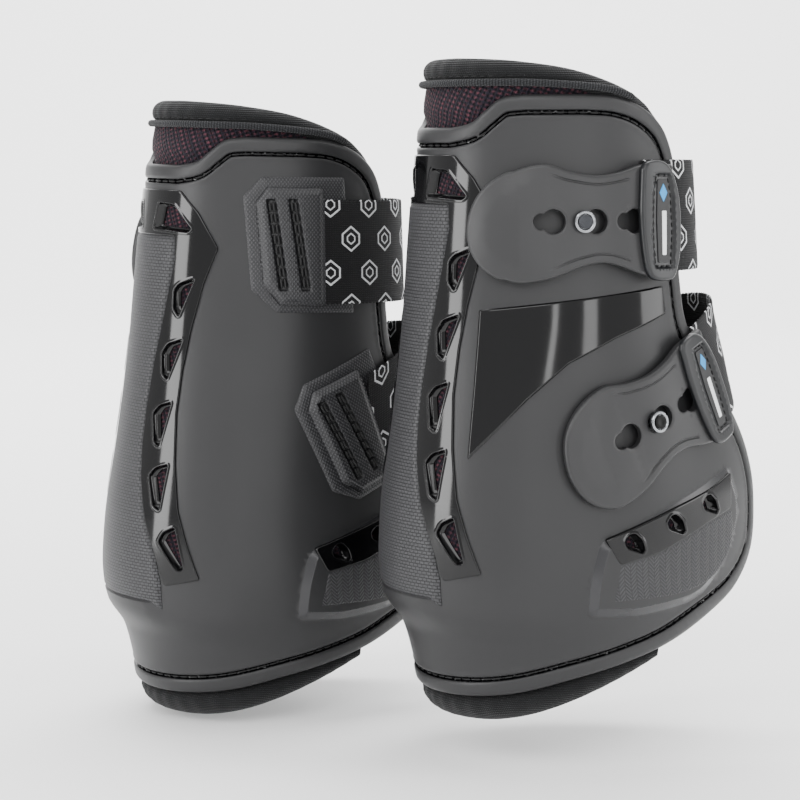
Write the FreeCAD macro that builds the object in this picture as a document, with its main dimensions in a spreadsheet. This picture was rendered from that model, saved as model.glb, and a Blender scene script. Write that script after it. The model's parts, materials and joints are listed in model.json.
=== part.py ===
import FreeCAD, Part
import math
import os
from FreeCAD import Placement, Rotation, Vector

# A pair of hard-shell tendon boots.  X points to the front of the leg, Z up.  The right boot
# stands on the origin axis with its lateral (strap) side facing -Y; the left boot mirrors it.

DIMENSIONS = {
    # layers, measured outward or inward from the outer face of the shell
    "shell_thickness": 3.0,
    "layer_gap": 0.1,
    "mesh_thickness": 0.8,
    "lining_thickness": 4.0,
    "trim_thickness": 0.9,
    "panel_thickness": 0.7,
    "strip_thickness": 1.1,
    "skin_gap": 0.1,
    "roll_depth": 9.0,
    "piping_depth": 2.2,
    # straps
    "strap_width": 41.0,
    "elastic_thickness": 1.1,
    "elastic_gap": 0.95,
    "elastic_medial_shift": 0.55,
    "tab_gap": 2.0,
    "tab_thickness": 3.0,
    "plate_thickness": 2.2,
    "anchor_base_thickness": 1.2,
    "anchor_plate_thickness": 4.0,
    # studs and keyholes
    "stud_post_diameter": 4.8,
    "stud_head_diameter": 8.2,
    "stud_head_thickness": 1.9,
    "stud_cap_diameter": 5.6,
    "stud_cap_thickness": 0.6,
    "keyhole_small": 6.0,
    "keyhole_large": 9.0,
    "keyhole_pitch": 16.0,
    "keyhole_travel": 4.5,
    "running_gap": 0.3,
    # places of the two studs and the tilt of the lower strap
    "upper_stud_arc": 67.4,
    "upper_stud_height": 181.4,
    "lower_strap_tilt": 22.0,
    "lower_stud_x": 16.3,
    "lower_stud_height": 107.2,
    "lower_axis_x": -2.2,
    "lower_axis_y": 55.6,
    "lower_axis_height": 99.7,
    # the left boot, beside and a little below the right one
    "left_boot_x": -81.5,
    "left_boot_y": 109.0,
    "left_boot_z": -15.0,
    "left_boot_turn": 7.5,
    "left_boot_lean": 1.8,
}

# height, half width, spine position, centre distance of the side arcs
STATIONS = [
    (-12, 40.0, -47.0, 34),
    (0, 43.0, -52.0, 42),
    (12, 45.0, -54.5, 52),
    (26, 47.5, -58.5, 62),
    (38, 50.0, -65.5, 68),
    (54, 51.0, -67.5, 70),
    (75, 50.5, -66.5, 68),
    (100, 48.5, -63.5, 58),
    (125, 46.4, -60.5, 42),
    (150, 44.8, -58.0, 30),
    (180, 43.0, -55.8, 30),
    (215, 41.0, -53.0, 30),
    (250, 40.0, -51.0, 30),
]
SECTION_STEP = 12.0

# (x, z) side view of the shell: runs that are joined end to end
SHELL_EDGE = [
    ("line", [(-80, 2), (-56, 2.2)]),
    ("curve", [(-56, 2.2), (-36, 5.8), (-15, 11), (8, 16), (30, 22), (50, 30.5), (66, 40), (75, 52),
               (78, 67), (77, 84), (71, 100), (55, 121), (43, 136), (38, 146), (35.6, 160)]),
    ("line", [(35.6, 160), (34, 196)]),
    ("curve", [(34, 196), (32.5, 206), (27, 216), (17, 223), (5, 226.6), (-8, 227.4)]),
    ("line", [(-8, 227.4), (-30, 227.2)]),
    ("curve", [(-30, 227.2), (-37, 226), (-42, 221.3), (-45.5, 217.3), (-50, 215.4)]),
    ("line", [(-50, 215.4), (-80, 215.4), (-80, 2)]),
]
# (x, z) side view of the lining, between the two rolls
LINING_EDGE = [
    ("line", [(-80, 3), (-50, 3)]),
    ("curve", [(-50, 3), (-36, 5.5), (-15, 10.5), (8, 16.5), (30, 23), (50, 32), (64, 41), (72.5, 53),
               (75.5, 67), (74.5, 83), (68.5, 98.5), (52.5, 119.5), (40.5, 135), (35.5, 146), (33, 160)]),
    ("line", [(33, 160), (31.5, 194)]),
    ("curve", [(31.5, 194), (29.5, 204), (24, 212), (14, 219), (0, 225.5), (-20, 230), (-45, 231.5)]),
    ("line", [(-45, 231.5), (-80, 231.5), (-80, 3)]),
]
TOP_ROLL_EDGE = [
    ("line", [(-80, 231.7), (-45, 231.7)]),
    ("curve", [(-45, 231.7), (-20, 230.2), (0, 225.7), (14, 219.2), (24, 212.2)]),
    ("line", [(24, 212.2), (30, 216)]),
    ("curve", [(30, 216), (21, 224.5), (10, 230.3), (-10, 236.2), (-30, 239.2), (-50, 240.3)]),
    ("line", [(-50, 240.3), (-80, 240.3), (-80, 231.7)]),
]
BOTTOM_ROLL_EDGE = [
    ("line", [(-80, -7.5), (-50, -6.5)]),
    ("curve", [(-50, -6.5), (-36, -4.5), (-17, 0.5), (6, 8.3), (27, 16)]),
    ("line", [(27, 16), (27, 21.4)]),
    ("curve", [(27, 21.4), (8, 16.3), (-15, 10.3), (-36, 5.3), (-50, 2.8)]),
    ("line", [(-50, 2.8), (-80, 2.8), (-80, -7.5)]),
]
PIPING_EDGE = [
    ("line", [(-80, 230.5), (-45, 230.5)]),
    ("curve", [(-45, 230.5), (-25, 230.3), (0, 228.6), (12, 225.6)]),
    ("line", [(12, 225.6), (13.5, 227.4)]),
    ("curve", [(13.5, 227.4), (0, 230.8), (-25, 232.6), (-45, 232.8)]),
    ("line", [(-45, 232.8), (-80, 232.8), (-80, 230.5)]),
]
GLOSS_PANEL = [(-45, 149.2), (25, 157), (26.5, 146.6), (3, 138.5), (-16, 129.6), (-31, 117), (-51, 94.6)]
LOWER_VENT_TRIM = [(-4, 65), (27, 74.6), (45, 79.6), (58, 84.6), (57.5, 71), (43, 67), (20, 58.6), (2, 55.2)]
LOWER_VENTS = [
    [(2.5, 62.5), (6.5, 59), (13, 63), (11, 66.5)],
    [(21.5, 68), (25.5, 64.4), (31.5, 67.8), (29.5, 71.2)],
    [(40, 74.2), (43.5, 70.6), (49, 73.6), (47, 77)],
]
FETLOCK_PAD = [
    ("line", [(2.2, 54.8), (20, 58.2), (43, 66.6), (57.8, 70.4)]),
    ("curve", [(57.8, 70.4), (58.6, 62), (55, 53), (46, 45.6), (35, 42.4), (24, 41.4)]),
    ("line", [(24, 41.4), (0, 41.4), (2.2, 54.8)]),
]

# outlines on the shell's skin: arc length from the spine, height
VENTS = [
    [(5, 190), (7, 200.5), (15.5, 200), (25, 190.5), (23.5, 189)],
    [(28.5, 171.5), (21.5, 169), (19.5, 166.5), (19.8, 159), (22.8, 155.5)],
    [(26, 147.5), (18.8, 145), (16.5, 141), (18, 132.5), (21, 130.5)],
    [(24.5, 122.5), (18.5, 120.5), (15.8, 117), (18.5, 105.5), (21.5, 104)],
    [(27, 98), (21, 96), (18.3, 92.5), (22.5, 80.5), (26, 79)],
    [(33.5, 73.5), (28.5, 71), (26.5, 67), (35.5, 56), (38.5, 56.5)],
]
VENT_TRIM = [
    (-1, 205.4), (18, 205.4), (27, 197), (36.5, 183.5), (32, 169), (28.5, 150), (27.2, 135), (27.2, 118),
    (29.8, 98), (34, 80), (39, 67), (45, 53), (30, 49.5), (26, 60), (19, 75), (14, 92), (12.2, 104),
    (11.8, 120), (13, 138), (16, 160), (18.6, 178), (17.4, 187.4), (-1, 187.4),
]
SPINE_STRIP = [
    (-17.2, 187.2), (17.2, 187.2), (18.4, 178), (15.8, 160), (12.8, 138), (11.6, 120), (12, 104),
    (13.8, 92), (18.8, 75), (25.8, 60), (28.4, 50), (27.5, 39.2), (22.5, 42), (-22.5, 42),
    (-27.5, 39.2), (-28.4, 50), (-25.8, 60), (-18.8, 75), (-13.8, 92), (-12, 104), (-11.6, 120),
    (-12.8, 138), (-15.8, 160), (-18.4, 178),
]

# outlines in a strap's own frame: distance along the strap from its stud, distance across it
TAB_OUTLINE = [
    ("curve", [(40, 20.5), (25, 20.5), (15, 18), (5, 16.8), (-5, 18.2), (-15, 20.8), (-27, 17.4),
               (-36, 9), (-39.7, -4), (-36.5, -15.5), (-27, -22), (-14, -21), (0, -16.2), (10, -15.5),
               (25, -20), (40, -20.5)]),
    ("line", [(40, -20.5), (40, 20.5)]),
]
PLATE_OUTLINE = [
    ("curve", [(23, 19), (25.5, 21.6), (33, 21.8), (38, 18), (41.5, 9), (42.5, -3), (41.5, -13),
               (38.5, -20.5), (35, -22), (28, -21.6), (24.5, -18), (22.6, -8), (22, 4), (23, 19)]),
]
ANCHOR_BASE = [(-14, 30.5), (22, 31), (27, -19), (-8, -19), (-18, -11), (-21.5, 22.7)]
ANCHOR_PLATE = [(-13, 26.5), (11, 26.5), (11, -17), (-7, -16.8), (-13, -9.5), (-16.5, 21)]
STRAP_START_MEDIAL = -10.5
STRAP_START_LATERAL = 27.0
STRAP_RISE = 1.5

doc = FreeCAD.newDocument("tendon_boots")
sheet = doc.addObject("Spreadsheet::Sheet", "dims")
for row, (alias, value) in enumerate(DIMENSIONS.items(), start=1):
    sheet.set("A%d" % row, alias)
    sheet.set("B%d" % row, str(value))
    sheet.setAlias("B%d" % row, alias)
doc.recompute()


def size(alias):
    return float(sheet.get(alias))


def between(height, column):
    """Monotone cubic through one column of the stations."""
    heights = [station[0] for station in STATIONS]
    values = [station[column] for station in STATIONS]
    steps = [b - a for a, b in zip(heights, heights[1:])]
    slopes = [(b - a) / h for a, b, h in zip(values, values[1:], steps)]
    tangents = [slopes[0]]
    for i in range(1, len(slopes)):
        before, after = slopes[i - 1], slopes[i]
        if before * after <= 0:
            tangents.append(0.0)
            continue
        w1 = 2 * steps[i] + steps[i - 1]
        w2 = steps[i] + 2 * steps[i - 1]
        tangents.append((w1 + w2) / (w1 / before + w2 / after))
    tangents.append(slopes[-1])
    i = 0
    while i < len(steps) - 1 and height > heights[i + 1]:
        i += 1
    part = min(max((height - heights[i]) / steps[i], 0.0), 1.0)
    return ((2 * part**3 - 3 * part**2 + 1) * values[i]
            + (part**3 - 2 * part**2 + part) * steps[i] * tangents[i]
            + (3 * part**2 - 2 * part**3) * values[i + 1]
            + (part**3 - part**2) * steps[i] * tangents[i + 1])


class Section:
    """Level cut through the boot: a round spine arc between two flatter side arcs."""

    def __init__(self, height, offset=0.0):
        self.height = height
        self.side_centre = between(height, 3)
        self.side_radius = between(height, 1) + self.side_centre
        reach = between(height, 2) + self.side_radius
        self.spine_centre = (reach**2 - self.side_centre**2) / (2 * reach)
        self.spine_radius = self.spine_centre - between(height, 2)
        self.join_angle = math.atan2(self.side_centre, -self.spine_centre)
        self.join_arc = self.spine_radius * self.join_angle
        self.offset = offset

    def spine(self, angle):
        radius = self.spine_radius + self.offset
        return Vector(self.spine_centre - radius * math.cos(angle), -radius * math.sin(angle), self.height)

    def side(self, angle):
        radius = self.side_radius + self.offset
        return Vector(-radius * math.cos(angle), self.side_centre - radius * math.sin(angle), self.height)

    def at(self, arc):
        """The lateral (-Y) skin, at an arc length from the spine; a negative one is medial."""
        run = abs(arc)
        if run < self.join_arc:
            point = self.spine(run / self.spine_radius)
        else:
            point = self.side(self.join_angle + (run - self.join_arc) / self.side_radius)
        return point if arc >= 0 else Vector(point.x, -point.y, point.z)

    def wire(self, front=None):
        """Closed outline: pointed at the front, or rounded off by an arc centred at x = front."""
        start = self.spine(self.join_angle)
        end = Vector(start.x, -start.y, start.z)
        back = Part.Arc(start, self.spine(0), end)
        radius = self.side_radius + self.offset
        if front is None:
            last = math.pi - math.asin(self.side_centre / radius)
        else:
            last = math.pi - math.atan2(self.side_centre, front)
        middle, tip = self.side((self.join_angle + last) / 2), self.side(last)
        side_in = Part.Arc(tip, middle, start)
        side_out = Part.Arc(end, Vector(middle.x, -middle.y, middle.z), Vector(tip.x, -tip.y, tip.z))
        edges = [back, side_out]
        if front is not None:
            cap = radius - math.hypot(front, self.side_centre)
            edges.append(Part.Arc(Vector(tip.x, -tip.y, tip.z), Vector(front + cap, 0, self.height), tip))
        edges.append(side_in)
        return Part.Wire([edge.toShape() for edge in edges])


def check_states():
    failed = ["%s: %s" % (item.Name, item.State) for item in doc.Objects
              if "Invalid" in item.State or "Error" in item.State]
    if failed:
        raise RuntimeError("did not compute: " + "; ".join(failed))


def feature(name, shape):
    item = doc.addObject("Part::Feature", name)
    item.Shape = shape
    return item


def blank(name, offset, low=-12.0, high=250.0, front=None):
    """Solid whose skin lies at an offset from the shell's outer face."""
    count = max(3, round((high - low) / SECTION_STEP) + 1)
    heights = [low + (high - low) * i / (count - 1) for i in range(count)]
    wires = [Section(height, offset).wire(front) for height in heights]
    return feature(name, Part.makeLoft(wires, True))


def cut(name, base, tool):
    item = doc.addObject("Part::Cut", name)
    item.Base = base
    item.Tool = tool
    return item


def common(name, *shapes):
    item = doc.addObject("Part::MultiCommon", name)
    item.Shapes = list(shapes)
    return item


def fuse(name, *shapes):
    item = doc.addObject("Part::MultiFuse", name)
    item.Shapes = list(shapes)
    return item


def layer(name, outer, inner, low=-12.0, high=250.0, front=None):
    """Everything between two offsets from the shell's outer face."""
    skin = blank(name + "_outer", outer, low, high, front)
    core = blank(name + "_inner", inner, low, high, front)
    return cut(name, skin, core)


def outline(name, runs, place):
    """Closed wire through runs of lines and curves; place turns each pair into a 3-D point."""
    edges = []
    for kind, pairs in runs:
        points = [place(*pair) for pair in pairs]
        if kind == "line":
            edges += [Part.makeLine(a, b) for a, b in zip(points, points[1:])]
        else:
            curve = Part.BSplineCurve()
            curve.interpolate(points)
            edges.append(curve.toShape())
    return feature(name, Part.Face(Part.Wire(edges)))


def corners(pairs):
    return [("line", list(pairs) + [pairs[0]])]


def prism(name, face, direction, length, symmetric=False):
    item = doc.addObject("Part::Extrusion", name)
    item.Base = face
    item.DirMode = "Custom"
    item.Dir = direction
    item.LengthFwd = length
    item.Symmetric = symmetric
    item.Solid = True
    return item


def side_view(x, z):
    return Vector(x, 0, z)


def full_prism(name, runs):
    return prism(name, outline(name + "_outline", runs, side_view), Vector(0, 1, 0), 260, True)


def half_prism(name, runs, side):
    """side -1 is lateral, +1 medial."""
    return prism(name, outline(name + "_outline", runs, side_view), Vector(0, side, 0), 120)


def skin_prism(name, runs, facing, side=1):
    """Prism over an outline drawn on the skin, seen from `facing` degrees round from the spine."""
    angle = math.radians(facing)
    view = Vector(-math.cos(angle), -side * math.sin(angle), 0)
    across = Vector(math.sin(angle), -side * math.cos(angle), 0)

    def place(arc, height):
        point = Section(height).at(arc)
        point.y *= side
        return across * point.dot(across) + Vector(0, 0, height) + view * 20
    return prism(name, outline(name + "_outline", runs, place), view, 80)


class Strap:
    """Frame of one strap: it wraps an axis, from its stud, `along` it to the front."""

    def __init__(self, name, stud, axis_point, tilt, front, low, high):
        self.name = name
        self.front, self.low, self.high = front, low, high
        angle = math.radians(tilt)
        self.along = Vector(math.cos(angle), 0, math.sin(angle))
        self.axis = Vector(-math.sin(angle), 0, math.cos(angle))
        self.centre = axis_point + self.axis * (stud - axis_point).dot(self.axis)
        arm = stud - self.centre
        self.radius = arm.Length
        self.stud_angle = math.atan2(arm.dot(self.along), -arm.y)

    def outward(self, distance, side=-1):
        """Unit vector from the strap's axis, at a distance along the strap from the stud."""
        angle = self.stud_angle + distance / self.radius
        return self.along * math.sin(angle) + Vector(0, side * math.cos(angle), 0)

    def centre_on(self, side):
        return Vector(self.centre.x, -side * self.centre.y, self.centre.z)

    def point(self, distance, across, side=-1, offset=0.0):
        return (self.centre_on(side) + self.outward(distance, side) * (self.radius + offset)
                + self.axis * across)

    def place(self, distance, across):
        spot = self.point(distance, across)
        return Vector(spot.x, 0, spot.z)

    def side_prism(self, name, runs, side):
        face = outline(name + "_outline", runs, self.place)
        return prism(name, face, Vector(0, side, 0), 120)

    def layer(self, name, outer, inner):
        return layer(name, outer, inner, self.low, self.high)

    def pin(self, name, diameter, start, length, distance=0.0):
        """Cylinder square to the skin, between two offsets from it."""
        item = doc.addObject("Part::Cylinder", name)
        item.setExpression("Radius", diameter + " / 2")
        item.setExpression("Height", length)
        direction = self.outward(distance)
        item.Placement = Placement(self.point(distance, 0, offset=start), Rotation(Vector(0, 0, 1), direction))
        return item


def upper_strap():
    height = size("upper_stud_height")
    section = Section(height)
    return Strap("upper", section.at(size("upper_stud_arc")), Vector(0, section.side_centre, height),
                 0.0, 15.0, 150.0, 215.0)


def lower_strap():
    height, x = size("lower_stud_height"), size("lower_stud_x")
    section = Section(height)
    y = section.side_centre - math.sqrt(section.side_radius**2 - x**2)
    axis_point = Vector(size("lower_axis_x"), size("lower_axis_y"), size("lower_axis_height"))
    return Strap("lower", Vector(x, y, height), axis_point, size("lower_strap_tilt"), 38.0, 60.0, 165.0)


def make_shell(straps):
    wall = layer("shell_wall", 0.0, -size("shell_thickness"))
    body = common("shell_body", wall, full_prism("shell_side", SHELL_EDGE))
    tools = []
    for side, word in ((1, "lateral"), (-1, "medial")):
        for number, vent in enumerate(VENTS, start=1):
            tools.append(skin_prism("vent_%s_%d" % (word, number), corners(vent), 34, side))
    for side, word in ((-1, "lateral"), (1, "medial")):
        for number, vent in enumerate(LOWER_VENTS, start=1):
            tools.append(half_prism("low_vent_%s_%d" % (word, number), corners(vent), side))
    for strap in straps:
        tools.append(strap.pin("rivet_hole_" + strap.name, "dims.stud_post_diameter + 0.2",
                               -size("shell_thickness") - 2, "dims.shell_thickness + 6"))
    return cut("shell", body, fuse("shell_openings", *tools)), tools


def make_skin(name, outer, face, low, high, openings=None):
    skin = layer(name + "_layer", outer, size("skin_gap"), low, high)
    body = common(name + "_body" if openings else name, skin, face)
    return cut(name, body, fuse(name + "_openings", *openings)) if openings else body


def make_vent_trim(vents):
    sides = [skin_prism("trim_" + word, corners(VENT_TRIM), 34, side)
             for side, word in ((1, "lateral"), (-1, "medial"))]
    return make_skin("vent_trim", size("trim_thickness"), fuse("trim_sides", *sides), 45.0, 210.0, vents)


def make_linings():
    inner_face = -size("shell_thickness") - size("layer_gap")
    mesh_inner = inner_face - size("mesh_thickness")
    lining_outer = mesh_inner - size("layer_gap")
    lining_inner = lining_outer - size("lining_thickness")
    side_view_prism = full_prism("lining_side", LINING_EDGE)
    mesh = common("mesh_liner", layer("mesh_layer", inner_face, mesh_inner), side_view_prism)
    lining = common("lining", layer("lining_layer", lining_outer, lining_inner), side_view_prism)
    depth = size("roll_depth")
    top = layer("top_roll_layer", -0.8, -0.8 - depth, 200.0, 250.0)
    low = layer("bottom_roll_layer", -0.8, -0.8 - depth, -12.0, 30.0)
    rolls = [common("top_roll_body", top, full_prism("top_roll_side", TOP_ROLL_EDGE)),
             common("bottom_roll_body", low, full_prism("bottom_roll_side", BOTTOM_ROLL_EDGE))]
    return mesh, lining, rolls


def make_strap(strap):
    """Tab, plate, stud, cap, anchor and elastic of one strap."""
    gap, thick = size("tab_gap"), size("tab_thickness")
    name = strap.name
    pitch, travel = size("keyhole_pitch"), size("keyhole_travel")
    start = gap - 2
    keyholes = []
    for number, place in enumerate((-pitch, 0.0, pitch), start=1):
        keyholes.append(strap.pin("keyhole_small_%s_%d" % (name, number), "dims.keyhole_small",
                                  start, "dims.tab_thickness + 6", place))
        keyholes.append(strap.pin("keyhole_large_%s_%d" % (name, number), "dims.keyhole_large",
                                  start, "dims.tab_thickness + 6", place + travel))
    body = common("tab_body_" + name, strap.layer("tab_layer_" + name, gap + thick, gap),
                  strap.side_prism("tab_side_" + name, TAB_OUTLINE, -1))
    tab = cut("strap_tab_" + name, body, fuse("keyholes_" + name, *keyholes))
    top = gap + thick
    plate = common("tab_plate_" + name, strap.layer("plate_layer_" + name, top + size("plate_thickness"), top),
                   strap.side_prism("plate_side_" + name, PLATE_OUTLINE, -1))
    head = top + size("running_gap")
    stud = fuse("stud_" + name,
                strap.pin("stud_post_" + name, "dims.stud_post_diameter", -size("shell_thickness"),
                          "dims.shell_thickness + dims.tab_gap + dims.tab_thickness + dims.running_gap + 0.5"),
                strap.pin("stud_head_" + name, "dims.stud_head_diameter", head, "dims.stud_head_thickness"))
    cap = strap.pin("stud_cap_" + name, "dims.stud_cap_diameter", head + size("stud_head_thickness"),
                    "dims.stud_cap_thickness")

    base_top, plate_top = size("anchor_base_thickness"), size("anchor_plate_thickness")
    foot = size("skin_gap")
    base = common("anchor_base_" + name, strap.layer("anchor_base_layer_" + name, base_top, foot),
                  strap.side_prism("anchor_base_side_" + name, corners(ANCHOR_BASE), 1))
    raised = common("anchor_raised_" + name, strap.layer("anchor_raised_layer_" + name, plate_top, foot),
                    strap.side_prism("anchor_raised_side_" + name, corners(ANCHOR_PLATE), 1))
    half = size("strap_width") / 2
    pocket_low, pocket_high = STRAP_RISE - half - 0.4, STRAP_RISE + half + 0.4
    pocket_run = [(STRAP_START_MEDIAL - 0.5, pocket_low), (40, pocket_low), (40, pocket_high),
                  (STRAP_START_MEDIAL - 0.5, pocket_high)]
    elastic_inner = size("elastic_gap") + size("elastic_medial_shift")
    pocket_layer = strap.layer("pocket_layer_" + name, elastic_inner + size("elastic_thickness") + 0.2,
                               base_top)
    pocket = common("pocket_" + name, pocket_layer,
                    strap.side_prism("pocket_side_" + name, corners(pocket_run), 1))
    anchor = cut("strap_anchor_" + name, fuse("anchor_body_" + name, base, raised), pocket)

    ring = layer("elastic_ring_" + name, size("elastic_gap") + size("elastic_thickness"),
                 size("elastic_gap"), strap.low, strap.high, strap.front)
    ring.Placement = Placement(Vector(0, size("elastic_medial_shift"), 0), Rotation())
    runs = []
    for side, first in ((1, STRAP_START_MEDIAL), (-1, STRAP_START_LATERAL)):
        edge = strap.place(first, 0)
        low, high = STRAP_RISE - half, STRAP_RISE + half
        far = edge + strap.along * 120
        rim = [edge + strap.axis * low, far + strap.axis * low, far + strap.axis * high, edge + strap.axis * high]
        run = [(spot.x, spot.z) for spot in rim]
        runs.append(half_prism("elastic_side_%s_%d" % (name, side), corners(run), side))
    elastic = common("elastic_" + name, ring, fuse("elastic_reach_" + name, *runs))
    return [tab, plate, stud, cap, anchor, elastic]


straps = [upper_strap(), lower_strap()]
shell, openings = make_shell(straps)
mesh, lining, roll_bodies = make_linings()
piping = common("top_piping", layer("piping_layer", 0.4, -size("piping_depth"), 200.0, 250.0),
                full_prism("piping_side", PIPING_EDGE))
shell_room = common("shell_room", layer("shell_room_layer", size("layer_gap"),
                                        -size("shell_thickness") - size("layer_gap")),
                    full_prism("shell_room_side", SHELL_EDGE))
top_roll = cut("top_roll", roll_bodies[0], fuse("top_roll_room", piping, shell_room))
bottom_roll = cut("bottom_roll", roll_bodies[1], shell_room)
pieces = {
    "shell": shell,
    "mesh_liner": mesh,
    "lining": lining,
    "top_roll": top_roll,
    "top_piping": piping,
    "bottom_roll": bottom_roll,
    "vent_trim": make_vent_trim([tool for tool in openings if tool.Name.startswith("vent_")]),
    "spine_strip": make_skin("spine_strip", size("strip_thickness"),
                             skin_prism("strip_side", corners(SPINE_STRIP), 0), 30.0, 195.0),
    "gloss_panel": make_skin("gloss_panel", size("panel_thickness"),
                             half_prism("panel_side", corners(GLOSS_PANEL), -1), 85.0, 165.0),
}
for side, word in ((-1, "lateral"), (1, "medial")):
    low_vents = [tool for tool in openings if tool.Name.startswith("low_vent_" + word)]
    pieces["lower_trim_" + word] = make_skin(
        "lower_trim_" + word, size("trim_thickness"),
        half_prism("lower_trim_side_" + word, corners(LOWER_VENT_TRIM), side), 45.0, 95.0, low_vents)
    pieces["fetlock_pad_" + word] = make_skin(
        "fetlock_pad_" + word, size("trim_thickness"),
        half_prism("pad_side_" + word, FETLOCK_PAD, side), 30.0, 80.0)
for strap in straps:
    tab, plate, stud, cap, anchor, elastic = make_strap(strap)
    pieces["strap_tab_" + strap.name] = tab
    pieces["tab_plate_" + strap.name] = plate
    pieces["stud_" + strap.name] = stud
    pieces["stud_cap_" + strap.name] = cap
    pieces["strap_anchor_" + strap.name] = anchor
    pieces["elastic_" + strap.name] = elastic
doc.recompute()
check_states()

# the left boot is the mirror image, turned and set down beside the right one
view = math.radians(27)
left_place = (Placement(Vector(size("left_boot_x"), size("left_boot_y"), size("left_boot_z")), Rotation())
              * Placement(Vector(), Rotation(Vector(math.sin(view), math.cos(view), 0), size("left_boot_lean")))
              * Placement(Vector(), Rotation(Vector(0, 0, 1), size("left_boot_turn"))))
parts = {}
for name, item in pieces.items():
    item.Label = "right_" + name
    parts[item.Label] = item
    mirrored = feature("left_" + name, item.Shape.mirror(Vector(0, 0, 0), Vector(0, 1, 0)))
    mirrored.Placement = left_place * mirrored.Placement
    parts[mirrored.Label] = mirrored
doc.recompute()
check_states()
os.makedirs("parts", exist_ok=True)
for name, item in parts.items():
    shape = item.Shape
    if shape.isNull() or not shape.isValid():
        raise RuntimeError("%s has no valid shape" % name)
    if not shape.Solids:
        raise RuntimeError("%s has no solid" % name)
    shape.exportStep("parts/%s.step" % name)
    print("%-28s %d solids %9.0f mm3" % (name, len(shape.Solids), shape.Volume))
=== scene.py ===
"""A pair of hard-shell tendon boots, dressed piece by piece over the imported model."""
import json
import math

import bpy
import numpy as np
from mathutils import Matrix, Vector, kdtree
from mathutils.geometry import delaunay_2d_cdt


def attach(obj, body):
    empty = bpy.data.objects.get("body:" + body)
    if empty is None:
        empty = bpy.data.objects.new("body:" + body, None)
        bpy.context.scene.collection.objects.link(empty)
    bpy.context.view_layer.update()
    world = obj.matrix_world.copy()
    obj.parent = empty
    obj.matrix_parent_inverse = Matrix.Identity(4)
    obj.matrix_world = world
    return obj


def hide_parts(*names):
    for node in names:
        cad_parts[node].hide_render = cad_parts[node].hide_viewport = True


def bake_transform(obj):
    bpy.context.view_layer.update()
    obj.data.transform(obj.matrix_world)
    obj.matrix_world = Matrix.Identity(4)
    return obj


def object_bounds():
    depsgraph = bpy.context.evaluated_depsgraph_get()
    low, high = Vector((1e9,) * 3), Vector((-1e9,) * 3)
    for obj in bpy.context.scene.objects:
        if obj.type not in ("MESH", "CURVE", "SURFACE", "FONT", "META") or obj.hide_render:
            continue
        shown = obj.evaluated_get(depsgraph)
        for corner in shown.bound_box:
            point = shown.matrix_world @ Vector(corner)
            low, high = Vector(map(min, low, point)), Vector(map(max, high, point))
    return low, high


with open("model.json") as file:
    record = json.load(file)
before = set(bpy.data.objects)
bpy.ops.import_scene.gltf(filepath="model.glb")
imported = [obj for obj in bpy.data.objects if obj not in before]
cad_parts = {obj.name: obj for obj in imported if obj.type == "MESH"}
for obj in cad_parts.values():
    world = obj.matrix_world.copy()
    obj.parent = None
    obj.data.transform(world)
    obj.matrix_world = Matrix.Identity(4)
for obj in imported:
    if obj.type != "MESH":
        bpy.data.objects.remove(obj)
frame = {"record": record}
cad_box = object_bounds()

MM = 0.001  # everything below is in mm, until a piece is built

# ---------------------------------------------------------------- the shell's skin
# each row: height, half width, spine position, centre distance of the side arcs
STATIONS = [
    (-12, 40.0, -47.0, 34),
    (0, 43.0, -52.0, 42),
    (12, 45.0, -54.5, 52),
    (26, 47.5, -58.5, 62),
    (38, 50.0, -65.5, 68),
    (54, 51.0, -67.5, 70),
    (75, 50.5, -66.5, 68),
    (100, 48.5, -63.5, 58),
    (125, 46.4, -60.5, 42),
    (150, 44.8, -58.0, 30),
    (180, 43.0, -55.8, 30),
    (215, 41.0, -53.0, 30),
    (250, 40.0, -51.0, 30),
]


def station_curve(column):
    """Monotone cubic through one column of the stations, as a function of height."""
    heights = np.array([row[0] for row in STATIONS], float)
    values = np.array([row[column] for row in STATIONS], float)
    steps = np.diff(heights)
    slopes = np.diff(values) / steps
    tangents = np.concatenate([slopes[:1], np.zeros(len(slopes) - 1), slopes[-1:]])
    for i in range(1, len(slopes)):
        before, after = slopes[i - 1], slopes[i]
        if before * after > 0:
            w1 = 2 * steps[i] + steps[i - 1]
            w2 = steps[i] + 2 * steps[i - 1]
            tangents[i] = (w1 + w2) / (w1 / before + w2 / after)

    def curve(height):
        i = np.clip(np.searchsorted(heights, height) - 1, 0, len(steps) - 1)
        part = np.clip((height - heights[i]) / steps[i], 0, 1)
        return ((2 * part**3 - 3 * part**2 + 1) * values[i]
                + (part**3 - 2 * part**2 + part) * steps[i] * tangents[i]
                + (3 * part**2 - 2 * part**3) * values[i + 1]
                + (part**3 - part**2) * steps[i] * tangents[i + 1])
    return curve


half_width, spine_at, side_centre_at = (station_curve(column) for column in (1, 2, 3))


def section(height):
    """Side centre and radius, spine centre and radius, and where the two arcs join."""
    side_centre = side_centre_at(height)
    side_radius = half_width(height) + side_centre
    reach = spine_at(height) + side_radius
    spine_centre = (reach**2 - side_centre**2) / (2 * reach)
    spine_radius = spine_centre - spine_at(height)
    join_angle = np.arctan2(side_centre, -spine_centre)
    return side_centre, side_radius, spine_centre, spine_radius, join_angle


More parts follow.
